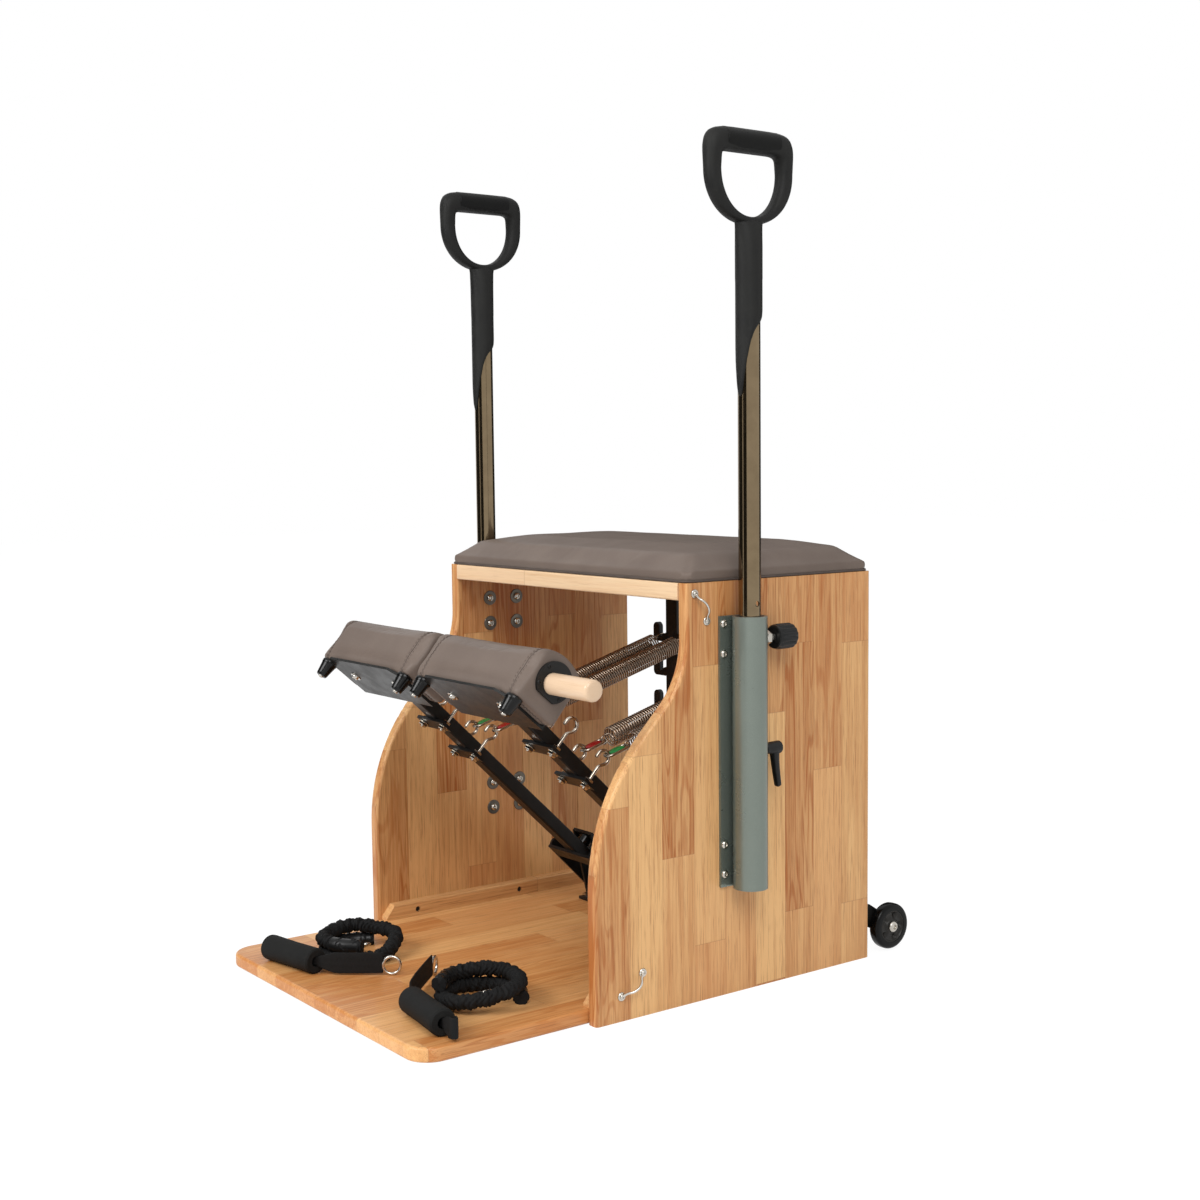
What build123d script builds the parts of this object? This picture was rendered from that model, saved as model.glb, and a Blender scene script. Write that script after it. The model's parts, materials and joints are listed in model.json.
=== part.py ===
"""A pilates chair: a timber cabinet with a padded seat, two sprung foot pedals and two pull-up handles.

All lengths are in millimetres.  +X points right for someone who looks at the front of the chair, +Y points
to its back and +Z is up.  The origin lies on the floor, midway between the side panels, near the middle of
the chair's length.  Depths are given as distances in front of the cabinet's rear face.
"""

from build123d import *
from math import cos, pi, radians, sin, sqrt, tan
import os

os.makedirs("parts", exist_ok=True)

# Cabinet
cabinet_width = 623.4
cabinet_height = 600.0
rear_face = 350.0
panel_thickness = 20.0
seat_depth = 361.5
toe_reach = 164.1
nose_height = 180.0
nose_radius = 300.0
neck_radius = 130.0
sweep_angle = 45.0
panel_rounding = 5.0
base_reach = 792.5
base_thickness = 20.8
base_corner = 38.0
base_rounding = 5.0
seat_board_thickness = 25.0
seat_board_rounding = 3.0
cleat_width = 18.0
cleat_height = 24.0
cleat_front = 520.0
cleat_back = 12.0
cleat_nose = 16.0
cleat_rounding = 4.0
cleat_screw_fronts = (461.0, 258.0, 60.0)
cleat_screw_height = 10.7
cleat_screw_radius = 2.5
cleat_head_radius = 4.5
cleat_head_depth = 3.0
cleat_recess = 6.0
cleat_screw_grip = 12.0

# Seat cushion
cushion_band = 15.0
cushion_shoulder = 33.0
cushion_crown = 43.0
cushion_corner = 14.0
cushion_foot_inset = 2.0
cushion_band_inset = 1.0
cushion_shoulder_inset = 34.0
cushion_crown_inset = 92.0

# Pedals
pivot_fore = 145.0
pivot_height = 46.5
arm_side_gap = 142.95
arm_slope = 43.6
arm_width = 28.0
arm_depth = 22.0
arm_wall = 2.5
arm_corner = 3.0
arm_foot = 92.0
pivot_pin_radius = 8.0
pivot_clearance = 0.05
fork_half_width = 60.0
fork_ear_thickness = 5.0
fork_eye_radius = 19.0
fork_lobe_radius = 12.0
fork_lobe_reach = 108.0
fork_web_length = 26.0
fork_web_thickness = 5.0
bush_radius = 11.0
bush_flange_radius = 15.0
bush_flange_thickness = 2.0
pin_cap_radius = 12.0
pin_cap_thickness = 4.0
pin_cap_gap = 0.5
bracket_half_width = 26.0
bracket_eye_radius = 15.0
bracket_seat_length = 28.0
bracket_seat_thickness = 5.0
bracket_bolt_x = 34.0
bracket_bolt_y = 36.0
stop_station = 105.0
bracket_cheek = 5.0
bracket_cheek_foot = 80.0
bracket_foot_length = 92.0
bracket_foot_half_width = 42.0
bracket_foot_thickness = 5.0
stop_radius = 12.0
stop_length = 14.0
soft_clearance = 0.3

# Foot pads
pad_corner_fore = 626.0
pad_corner_height = 467.0
pad_tilt = 41.0
pad_gap = 22.0
pad_side_gap = 15.2
pad_depth = 82.0
pad_front_height = 76.0
pad_rear_height = 80.0
pad_crown_height = 91.0
pad_crown_place = 38.0
pad_rounding = 15.0
pad_crown_rounding = 70.0
pad_end_chamfer = 5.0
pad_foot_rounding = 6.0
pad_plate_thickness = 4.0
pad_plate_inset = 28.75
pad_plate_overhang = 6.0
pad_plate_chamfer = 14.0
pad_plate_rise = 52.0
bumper_inset = 15.75
bumper_top_radius = 12.5
bumper_taper = 8.5
bumper_length = 27.0
bumper_place = 12.0
plate_screw_radius = 5.5
plate_screw_head = 3.0
button_inset = 69.25
button_place = 36.0
flange_radius = 29.0
flange_u = 40.0
flange_w = 47.0
flange_flat = 23.0
flange_thickness = 4.0
dowel_radius = 15.0
dowel_clearance = 0.05
dowel_pad_clearance = 0.4
dowel_u = 38.5
dowel_w = 44.0
dowel_reach = 98.5
dowel_heel_inset = 41.5
dowel_end_chamfer = 2.5

# Spring hooks on the arms
hook_station_low = 394.0
hook_station_high = 471.7
hook_plate_half_width = 38.0
hook_plate_length = 24.0
hook_plate_thickness = 5.0
hook_offset = 29.0
hook_wire = 2.6
hook_tail = 24.0
hook_shank_rise = 14.0
hook_jog_radius = 10.0
hook_jog_angle = 40.0
hook_jog_run = 6.0
hook_bend_radius = 10.5
hook_bend_angle = 220.0
hook_tip_run = 7.0
nut_radius = 6.5
nut_height = 4.6

# Springs, their links and the spring trees
link_wire = 2.3
link_length = 46.0
link_width = 21.0
link_insert_thickness = 3.0
link_insert_front = 16.0
link_insert_back = 8.5
spring_radius = 14.2
spring_wire = 1.5
spring_curls = 6
spring_front_eye = 6.0
spring_rear_eye = 8.5
spring_neck_radius = 6.5
spring_neck_curls = 0.5
spring_eye_angle = 220.0
spring_eye_arcs = 3
spring_wire_side = 2.6
spring_lead = 9.0
spring_clearance = 0.3
spring_tip = 3.0
link_gap = 0.1
tree_thickness = 8.0
tree_back = 8.0
tree_stem_width = 30.0
tree_levels = 4
tree_level_pitch = 60.0
tree_lug_height = 33.0
tree_lug_width = 17.0
tree_notch_width = 8.0
tree_notch_depth = 24.0
tree_top_lug_drop = 146.0
tree_flange_length = 46.0
tree_flange_width = 64.0
tree_flange_thickness = 5.0
tree_bolt_offset = 22.0
tree_bolt_reach = 18.0

# Handles and their sleeves
pole_standoff = 29.3
pole_fore = 270.0
pole_radius = 16.0
pole_wall = 2.0
pole_length = 880.0
pole_lift = 30.0
sleeve_radius = 25.0
sleeve_wall = 4.0
sleeve_length = 391.0
sleeve_drop = 49.0
sleeve_flange_half_width = 34.0
sleeve_flange_thickness = 4.0
sleeve_neck_half_width = 10.0
sleeve_bolt_offset = 27.0
sleeve_bolt_pitch = 43.0
sleeve_bolt_foot = 19.0
sleeve_bolt_head = 11.0
liner_length = 52.0
slide_clearance = 0.05
index_drop = 33.0
index_pitch = 50.0
index_holes_each_way = 3
index_pin_radius = 4.0
index_hole_clearance = 0.3
index_housing_radius = 8.0
index_housing_length = 18.0
index_knob_gap = 1.0
index_pin_reach = 3.0
index_flute_radius = 4.0
index_knob_radius = 18.5
index_knob_length = 38.0
index_flutes = 6
lever_drop = 193.0
lever_hub_radius = 8.5
lever_hub_length = 28.0
lever_gap = 3.0
lever_tip_radius = 5.5
lever_thickness = 9.0
lever_inset = 10.0
lever_screw_tip = 1.0
lever_reach = 60.0
lever_screw_radius = 4.0
cross_hole_rise = 18.0
grip_height = 152.0
grip_half_width = 80.0
grip_opening_half_width = 50.0
grip_opening_sill = 38.0
grip_opening_height = 81.0
grip_shoulder_height = 96.0
grip_depth = 30.0
grip_chamfer = 5.0
grip_blend = 44.0
grip_neck_rise = 26.0
grip_neck_half_width = 24.0
grip_socket_radius = 19.5
grip_heel_drop = 104.0
grip_tongue_drop = 206.0
grip_v_drop = 139.0
grip_v_place = -7.0
grip_tongue_place = -14.0

# Fixings
bolt_radius = 3.0
bolt_head_radius = 6.0
bolt_head_height = 3.6
hex_radius = 6.5
hex_height = 5.0
eye_wire = 2.4
eye_rise = 11.0
eye_pad_radius = 6.0
eye_pad_thickness = 2.5
eye_feet = (((347.3, 585.1), (325.5, 545.3)), ((482.7, 35.7), (445.2, 62.3)))

# Transport wheels
wheel_radius = 36.0
wheel_width = 18.0
wheel_behind = 54.0
wheel_height = 38.0
wheel_hub_radius = 25.0
wheel_axle_radius = 4.0
wheel_clearance = 0.05
wheel_gap = 1.0
wheel_bracket_thickness = 4.0
wheel_bracket_height = 28.0
wheel_bracket_foot = 47.0
wheel_bracket_grip = 62.0
wheel_bracket_overhang = 22.0
wheel_bracket_step = 2.0
wheel_bracket_eye = 14.0
wheel_cap_radius = 9.0
wheel_bolt_shares = (0.35, 0.8)

# Resistance cords lying on the base, each with a foam grip, a strap, a ring and a clip
cord_radius = 10.0
cord_loop_radius = 54.0
cord_layer_pitch = 20.8
cord_climb_start = 180.0
cord_climb_end = 345.0
cord_end = 525.0
cord_step = 45.0
gap_steps = 200
cord_centres = ((-135.0, 645.0), (172.0, 622.0))
cord_turns = (150.0, 60.0)
foam_radius = 19.0
foam_bore = 8.0
foam_ends = (((-203.0, 762.0), (-90.0, 742.0)), ((262.0, 738.0), (150.0, 722.0)))
strap_routes = (((-60.0, 720.0), (-22.0, 668.0)), ((110.0, 700.0), (33.0, 618.0)))
strap_width = 14.0
strap_thickness = 2.6
strap_tail = 20.0
ring_radius = 14.0
ring_wire = 4.8
clip_wire = 4.4
clip_length = 50.0
clip_width = 20.0

foot_depth = seat_depth + toe_reach
half_width = cabinet_width / 2
inner_half_width = half_width - panel_thickness
seat_board_foot = cabinet_height - seat_board_thickness
pedal_half_pitch = inner_half_width - arm_side_gap
pad_width = inner_half_width - pad_side_gap - pad_gap / 2
pad_plate_half_width = pad_width / 2 - pad_plate_inset
bumper_spacing = pad_width - 2 * bumper_inset
button_spacing = pad_width - 2 * button_inset
dowel_tip = pad_gap / 2 + pad_width + dowel_reach
dowel_heel = dowel_heel_inset - pad_gap / 2 - pad_width
sleeve_head = cabinet_height - sleeve_drop
sleeve_foot = sleeve_head - sleeve_length
sleeve_bolt_heights = (
    sleeve_foot + sleeve_bolt_foot,
    sleeve_foot + sleeve_bolt_foot + sleeve_bolt_pitch,
    sleeve_head - sleeve_bolt_head - sleeve_bolt_pitch,
    sleeve_head - sleeve_bolt_head,
)
index_height = sleeve_head - index_drop
lever_height = sleeve_head - lever_drop
cross_hole_height = sleeve_head + cross_hole_rise
pole_foot = sleeve_foot + pole_lift
pole_head = pole_foot + pole_length
grip_top = pole_head + grip_height
grip_opening_foot = pole_head + grip_opening_sill
grip_opening_head = grip_opening_foot + grip_opening_height
grip_shoulder = pole_head + grip_shoulder_height
grip_neck_height = pole_head + grip_neck_rise
grip_heel_height = pole_head - grip_heel_drop
grip_v_height = pole_head - grip_v_drop
grip_tongue_height = pole_head - grip_tongue_drop
wheel_bolt_height = wheel_bracket_foot + wheel_bracket_height / 2
wheel_bolt_fronts = [wheel_bracket_grip * share for share in wheel_bolt_shares]
sides = (("left", -1), ("right", 1))


def fore(distance):
    """The Y of a place this far in front of the cabinet's rear face."""
    return rear_face - distance


def save(piece, name):
    """Label a finished piece and write its STEP file."""
    piece.label = name
    export_step(piece, f"parts/{name}.step")


def arm_plane(x, s=0.0, n=0.0):
    """A plane square to X whose local x runs up along the pedal arm and whose local y points up and back."""
    along, across = cos(radians(arm_slope)), sin(radians(arm_slope))
    y = fore(pivot_fore) - along * s + across * n
    z = pivot_height + across * s + along * n
    return Plane(origin=(x, y, z), x_dir=(0, -along, across), z_dir=(-1, 0, 0))


def pad_plane(x, u=0.0, w=0.0):
    """A plane square to X whose local x runs back along the pad's underside and whose local y crosses it."""
    along, across = cos(radians(pad_tilt)), sin(radians(pad_tilt))
    y = fore(pad_corner_fore) + along * u + across * w
    z = pad_corner_height - across * u + along * w
    return Plane(origin=(x, y, z), x_dir=(0, along, -across), z_dir=(1, 0, 0))


def side_plane(x, y, z, outward):
    """A plane square to X that faces outward from the cabinet, with its origin at the given point."""
    return Plane(origin=(x, y, z), x_dir=(0, 1, 0), z_dir=(outward, 0, 0))


def pedal_x(s):
    """The X of a pedal arm's middle."""
    return s * pedal_half_pitch


def pad_x(s):
    """The X of a foot pad's middle."""
    return s * (pad_gap + pad_width) / 2


def arm_section(x, station, n=0.0):
    """A plane square to the pedal arm, with its local x along X and its local y up and back."""
    here = arm_plane(x, station, n)
    return Plane(origin=here.origin, x_dir=(1, 0, 0), z_dir=here.x_dir)


def lying_plane(here):
    """A plane square to another's local y, through its origin, with its local x along X."""
    return Plane(origin=here.origin, x_dir=(1, 0, 0), z_dir=here.y_dir)


def biarc(start, start_dir, end, end_dir):
    """Two arcs that leave one point and reach another along the given directions, in one smooth line."""
    chord = end - start
    square = 2 - 2 * start_dir.dot(end_dir)
    slope = chord.dot(start_dir + end_dir)
    if square < 1e-9:
        reach = chord.dot(chord) / (2 * slope)
    else:
        reach = (sqrt(slope * slope + square * chord.dot(chord)) - slope) / square
    first, second = start + start_dir * reach, end - end_dir * reach
    middle = (first + second) * 0.5
    middle_dir = (second - first).normalized()
    return [
        Edge.make_tangent_arc(start, start_dir, middle),
        Edge.make_tangent_arc(middle, middle_dir, end),
    ]


def smooth_wire(stations, lead_in, lead_out):
    """A straight lead, biarcs through stations of (point, direction), and a straight lead out."""
    first, first_dir = stations[0]
    last, last_dir = stations[-1]
    edges = [Edge.make_line(first - first_dir * lead_in, first)]
    for (start, start_dir), (end, end_dir) in zip(stations, stations[1:]):
        edges += biarc(start, start_dir, end, end_dir)
    edges.append(Edge.make_line(last, last + last_dir * lead_out))
    return Wire(edges)


def least_gap(points, thickness, apart):
    """The least gap between points of one tube that lie more than a given way apart along it."""
    lengths = [0.0]
    for a, b in zip(points, points[1:]):
        lengths.append(lengths[-1] + (b - a).length)
    return min(
        (a - b).length - thickness
        for i, a in enumerate(points)
        for j, b in enumerate(points[i + 1 :], i + 1)
        if lengths[j] - lengths[i] > apart
    )


def spring_stations(front, back):
    """Points and directions along a spring: an eye, a neck, the curls, a neck and an eye."""
    stations = []
    for arc in range(spring_eye_arcs):
        turn = radians(90 + spring_eye_angle * (1 - arc / spring_eye_arcs))
        stations.append((eye_point(front, spring_front_eye, turn), Vector(sin(turn), -cos(turn), 0)))
    stations.append((Vector(front, spring_front_eye, 0), Vector(1, 0, 0)))
    curls = spring_curls + 2 * spring_neck_curls
    start = front + spring_lead
    pitch = (back - spring_rear_eye - spring_lead - start) / curls
    quarters = round(4 * curls)
    for quarter in range(quarters + 1):
        curl = quarter / 4
        inward = min(curl, curls - curl)
        if inward > spring_neck_curls and quarter % 2:
            continue
        share = min(inward / spring_neck_curls, 1.0)
        radius = spring_neck_radius + (spring_radius - spring_neck_radius) * share * share * (3 - 2 * share)
        growth = (spring_radius - spring_neck_radius) * 6 * share * (1 - share) / spring_neck_curls
        growth = growth if curl < curls / 2 else -growth
        turn = 2 * pi * curl
        point = Vector(start + pitch * curl, radius * cos(turn), radius * sin(turn))
        across = 2 * pi * radius
        sideways = growth * cos(turn) - across * sin(turn)
        heading = Vector(pitch, sideways, growth * sin(turn) + across * cos(turn))
        stations.append((point, heading.normalized()))
    for arc in range(spring_eye_arcs + 1):
        turn = radians(90 - spring_eye_angle * arc / spring_eye_arcs)
        stations.append((eye_point(back, spring_rear_eye, turn), Vector(sin(turn), -cos(turn), 0)))
    return stations


def eye_point(place, radius, turn):
    """A point on a spring's eye, at a turn from the spring's axis."""
    return Vector(place + radius * cos(turn), radius * sin(turn), 0)


# Side panels, cut to an S along the front edge and rounded there
for side, s in sides:
    inner_x = s * inner_half_width
    with BuildPart() as side_panel:
        with BuildSketch(Plane.YZ.offset(inner_x)):
            with BuildLine():
                foot = Line((fore(0), 0), (fore(foot_depth), 0))
                shin = Line(foot @ 1, (fore(foot_depth), nose_height))
                nose = JernArc(shin @ 1, (0, 1), nose_radius, -sweep_angle)
                turn = 1 - cos(radians(sweep_angle))
                slant = (toe_reach - (nose_radius + neck_radius) * turn) / cos(radians(sweep_angle))
                slope = Line(nose @ 1, nose @ 1 + (nose % 1) * slant)
                neck = JernArc(slope @ 1, slope % 1, neck_radius, sweep_angle)
                Line(neck @ 1, (fore(seat_depth), cabinet_height))
                Line((fore(seat_depth), cabinet_height), (fore(0), cabinet_height))
                Line((fore(0), cabinet_height), (fore(0), 0))
            make_face()
        extrude(amount=s * panel_thickness)
        front_and_back = [
            edge
            for edge in side_panel.edges()
            if edge.bounding_box().size.X < 0.001 and edge.bounding_box().size.Z > 1
        ]
        fillet(front_and_back, radius=panel_rounding)
        with Locations(
            *[
                side_plane(inner_x, fore(pole_fore + row * sleeve_bolt_offset), height, -s)
                for row in (-1, 1)
                for height in sleeve_bolt_heights
            ]
        ):
            Hole(radius=bolt_radius)
        for radius, height, fronts in (
            (cleat_screw_radius, base_thickness + cleat_screw_height, cleat_screw_fronts),
            (bolt_radius, wheel_bolt_height, wheel_bolt_fronts),
        ):
            with Locations(*[side_plane(inner_x, fore(reach), height, -s) for reach in fronts]):
                Hole(radius=radius, depth=cleat_screw_grip)
    save(side_panel.part, f"side_panel_{side}")

# Base board, with round front corners and eased edges
with BuildPart() as base_board:
    with BuildSketch():
        with Locations((0, (fore(0) + fore(base_reach)) / 2)):
            Rectangle(2 * inner_half_width, base_reach)
    extrude(amount=base_thickness)
    fillet(base_board.edges().filter_by(Axis.Z).group_by(Axis.Y)[0], radius=base_corner)
    fillet(base_board.faces().filter_by(Axis.Z).edges(), radius=base_rounding)
save(base_board.part, "base_board")

# Cleats that tie the panels to the base, and their screws
with BuildPart() as base_cleats:
    for side, s in sides:
        inner_x = s * inner_half_width
        with BuildSketch(Plane.YZ.offset(inner_x)):
            Polygon(
                (fore(cleat_back), base_thickness),
                (fore(cleat_front), base_thickness),
                (fore(cleat_front), base_thickness + cleat_rounding),
                (fore(cleat_front - cleat_nose), base_thickness + cleat_height),
                (fore(cleat_back), base_thickness + cleat_height),
                align=None,
            )
        extrude(amount=-s * cleat_width)
        top_edges = base_cleats.edges().filter_by(Axis.Y).group_by(Axis.Z)[-1]
        free_edge = top_edges.sort_by(lambda edge: abs(edge.center().X))[0]
        fillet(free_edge, radius=cleat_rounding)
        with Locations(
            *[
                side_plane(inner_x - s * cleat_width, fore(reach), base_thickness + cleat_screw_height, -s)
                for reach in cleat_screw_fronts
            ]
        ):
            CounterBoreHole(cleat_screw_radius, cleat_head_radius, cleat_recess)
save(base_cleats.part, "base_cleats")

with BuildPart() as cleat_screws:
    for side, s in sides:
        for reach in cleat_screw_fronts:
            seat_x = s * (inner_half_width - cleat_width + cleat_recess)
            screw_plane = side_plane(seat_x, fore(reach), base_thickness + cleat_screw_height, -s)
            with BuildSketch(screw_plane):
                Circle(cleat_head_radius - soft_clearance)
            extrude(amount=cleat_head_depth)
            with BuildSketch(screw_plane):
                Circle(cleat_screw_radius)
            extrude(amount=-(cleat_width - cleat_recess + cleat_screw_grip))
save(cleat_screws.part, "cleat_screws")

# Seat board between the panels
with BuildPart() as seat_board:
    with BuildSketch(Plane.XY.offset(seat_board_foot)):
        with Locations((0, (fore(0) + fore(seat_depth)) / 2)):
            Rectangle(2 * inner_half_width, seat_depth)
    extrude(amount=seat_board_thickness)
    fillet(seat_board.edges().filter_by(Axis.X).group_by(Axis.Y)[0], radius=seat_board_rounding)
save(seat_board.part, "seat_board")

# Seat cushion: a low band all round, drawn in at its foot, then a shoulder and a soft crown
cushion_levels = (
    (0, cushion_foot_inset),
    (cushion_band / 2, 0),
    (cushion_band, cushion_band_inset),
    (cushion_shoulder, cushion_shoulder_inset),
    (cushion_crown, cushion_crown_inset),
)
with BuildPart() as seat_cushion:
    for rise, inset in cushion_levels:
        with BuildSketch(Plane.XY.offset(cabinet_height + rise)):
            with Locations((0, (fore(0) + fore(seat_depth)) / 2)):
                RectangleRounded(cabinet_width - 2 * inset, seat_depth - 2 * inset, cushion_corner)
    loft(ruled=True)
save(seat_cushion.part, "seat_cushion")

# Spring trees: an upright plate with rising lugs on both sides, welded to a flange at each end
tree_front = fore(tree_back + tree_thickness)
with BuildPart() as spring_trees:
    for side, s in sides:
        centre_x = pedal_x(s)
        with BuildSketch(Plane.XZ.offset(-fore(tree_back))):
            with Locations((centre_x, (base_thickness + seat_board_foot) / 2)):
                Rectangle(tree_stem_width, seat_board_foot - base_thickness)
            for level in range(tree_levels):
                lug_foot = cabinet_height - tree_top_lug_drop - level * tree_level_pitch
                for way in (-1, 1):
                    notch_x = centre_x + way * hook_offset
                    outer_edge = notch_x + way * (tree_notch_width / 2 + tree_lug_width)
                    with BuildLine():
                        tip_y = lug_foot + tree_lug_height - tree_lug_width / 2
                        Line((centre_x, lug_foot), (outer_edge - way * tree_lug_width / 2, lug_foot))
                        RadiusArc(
                            (outer_edge - way * tree_lug_width / 2, lug_foot),
                            (outer_edge, lug_foot + tree_lug_width / 2),
                            -way * tree_lug_width / 2,
                        )
                        Line((outer_edge, lug_foot + tree_lug_width / 2), (outer_edge, tip_y))
                        ThreePointArc(
                            (outer_edge, tip_y),
                            (outer_edge - way * tree_lug_width / 2, tip_y + tree_lug_width / 2),
                            (outer_edge - way * tree_lug_width, tip_y),
                        )
                        notch_foot = lug_foot + tree_lug_height - tree_notch_depth + tree_notch_width / 2
                        notch_side = outer_edge - way * tree_lug_width
                        Line((notch_side, tip_y), (notch_side, notch_foot))
                        ThreePointArc(
                            (notch_side, notch_foot),
                            (notch_x, notch_foot - tree_notch_width / 2),
                            (notch_x - way * tree_notch_width / 2, notch_foot),
                        )
                        Line(
                            (notch_x - way * tree_notch_width / 2, notch_foot),
                            (centre_x, notch_foot + tree_notch_width),
                        )
                        Line((centre_x, notch_foot + tree_notch_width), (centre_x, lug_foot))
                    make_face()
        extrude(amount=tree_thickness)
        for flange_z in (base_thickness, seat_board_foot - tree_flange_thickness):
            with BuildSketch(Plane.XY.offset(flange_z)):
                with Locations((centre_x, tree_front + tree_thickness - tree_flange_length / 2)):
                    Rectangle(tree_flange_width, tree_flange_length)
            extrude(amount=tree_flange_thickness)
        with Locations(
            *[
                (centre_x + way * tree_bolt_offset, tree_front - tree_bolt_reach, seat_board_foot)
                for way in (-1, 1)
            ]
        ):
            Hole(radius=bolt_radius)
save(spring_trees.part, "spring_trees")

# Pivot brackets on the base: two cheeks that hold the pin, and a seat for the rubber stop
foot_top = base_thickness + bracket_foot_thickness
stop_seat = arm_depth / 2 + soft_clearance + stop_length
bracket_bolt_places = [
    (pedal_x(s) + way * bracket_bolt_x, fore(pivot_fore) + row * bracket_bolt_y)
    for side, s in sides
    for way in (-1, 1)
    for row in (-1, 1)
]
with BuildPart() as pivot_brackets:
    for side, s in sides:
        x = pedal_x(s)
        seat = arm_plane(x, stop_station, stop_seat + bracket_seat_thickness / 2)
        with BuildSketch(Plane.XY.offset(base_thickness)):
            with Locations((x, fore(pivot_fore))):
                Rectangle(2 * bracket_foot_half_width, bracket_foot_length)
        extrude(amount=bracket_foot_thickness)
        for cheek in (-1, 1):
            with BuildSketch(Plane.YZ.offset(x + cheek * bracket_half_width)):
                with Locations((fore(pivot_fore), pivot_height)):
                    Circle(bracket_eye_radius)
                with Locations((fore(pivot_fore), foot_top)):
                    Rectangle(bracket_cheek_foot, bracket_seat_thickness, align=(Align.CENTER, Align.MIN))
                with Locations((seat.origin.Y, seat.origin.Z)):
                    Rectangle(bracket_seat_length, bracket_seat_thickness, rotation=-arm_slope)
                make_hull()
            extrude(amount=-cheek * bracket_cheek)
        with BuildSketch(seat):
            Rectangle(bracket_seat_length, bracket_seat_thickness)
        extrude(amount=bracket_half_width, both=True)
        with BuildSketch(Plane.YZ.offset(x)):
            with Locations((fore(pivot_fore), pivot_height)):
                Circle(pivot_pin_radius)
        extrude(amount=bracket_half_width, both=True, mode=Mode.SUBTRACT)
    with BuildSketch(Plane.XY.offset(base_thickness)):
        with Locations(*bracket_bolt_places):
            Circle(bolt_radius)
    extrude(amount=bracket_foot_thickness, mode=Mode.SUBTRACT)
save(pivot_brackets.part, "pivot_brackets")

with BuildPart() as pivot_pins:
    for side, s in sides:
        x = pedal_x(s)
        with BuildSketch(Plane.YZ.offset(x)):
            with Locations((fore(pivot_fore), pivot_height)):
                Circle(pivot_pin_radius)
        extrude(amount=fork_half_width + pin_cap_gap, both=True)
        for way in (-1, 1):
            with BuildSketch(Plane.YZ.offset(x + way * (fork_half_width + pin_cap_gap))):
                with Locations((fore(pivot_fore), pivot_height)):
                    Circle(pin_cap_radius)
            extrude(amount=way * pin_cap_thickness)
save(pivot_pins.part, "pivot_pins")

with BuildPart() as rubber_stops:
    for side, s in sides:
        with BuildSketch(lying_plane(arm_plane(pedal_x(s), stop_station, stop_seat))):
            Circle(stop_radius)
        extrude(amount=-stop_length)
save(rubber_stops.part, "rubber_stops")

# Bolts of the pivot brackets, and bolts that hold the spring trees up to the seat board
with BuildPart() as frame_bolts:
    with BuildSketch(Plane.XY.offset(foot_top)):
        with Locations(*bracket_bolt_places):
            RegularPolygon(hex_radius, 6)
    extrude(amount=hex_height)
    with BuildSketch(Plane.XY.offset(foot_top)):
        with Locations(*bracket_bolt_places):
            Circle(bolt_radius)
    extrude(amount=-bracket_foot_thickness)
    tree_bolt_places = [
        (pedal_x(s) + way * tree_bolt_offset, tree_front - tree_bolt_reach)
        for side, s in sides
        for way in (-1, 1)
    ]
    tree_flange_foot = Plane.XY.offset(seat_board_foot - tree_flange_thickness)
    with BuildSketch(tree_flange_foot):
        with Locations(*tree_bolt_places):
            RegularPolygon(hex_radius, 6)
    extrude(amount=-hex_height)
    with BuildSketch(tree_flange_foot):
        with Locations(*tree_bolt_places):
            Circle(bolt_radius)
    extrude(amount=tree_flange_thickness)
save(frame_bolts.part, "frame_bolts")

# The line a hook is bent along, drawn flat: its x runs up the arm and its y runs away from the arm
with BuildLine() as hook_line:
    shank = Line((0, -hook_tail), (0, hook_shank_rise))
    jog = JernArc(shank @ 1, shank % 1, hook_jog_radius, hook_jog_angle)
    run = Line(jog @ 1, jog @ 1 + (jog % 1) * hook_jog_run)
    bend = JernArc(run @ 1, run % 1, hook_bend_radius, -hook_bend_angle)
    Line(bend @ 1, bend @ 1 + (bend % 1) * hook_tip_run)
hook_centre = bend.arc_center
hook_stations = (hook_station_low, hook_station_high)
plate_foot = -arm_depth / 2 - hook_plate_thickness

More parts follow.
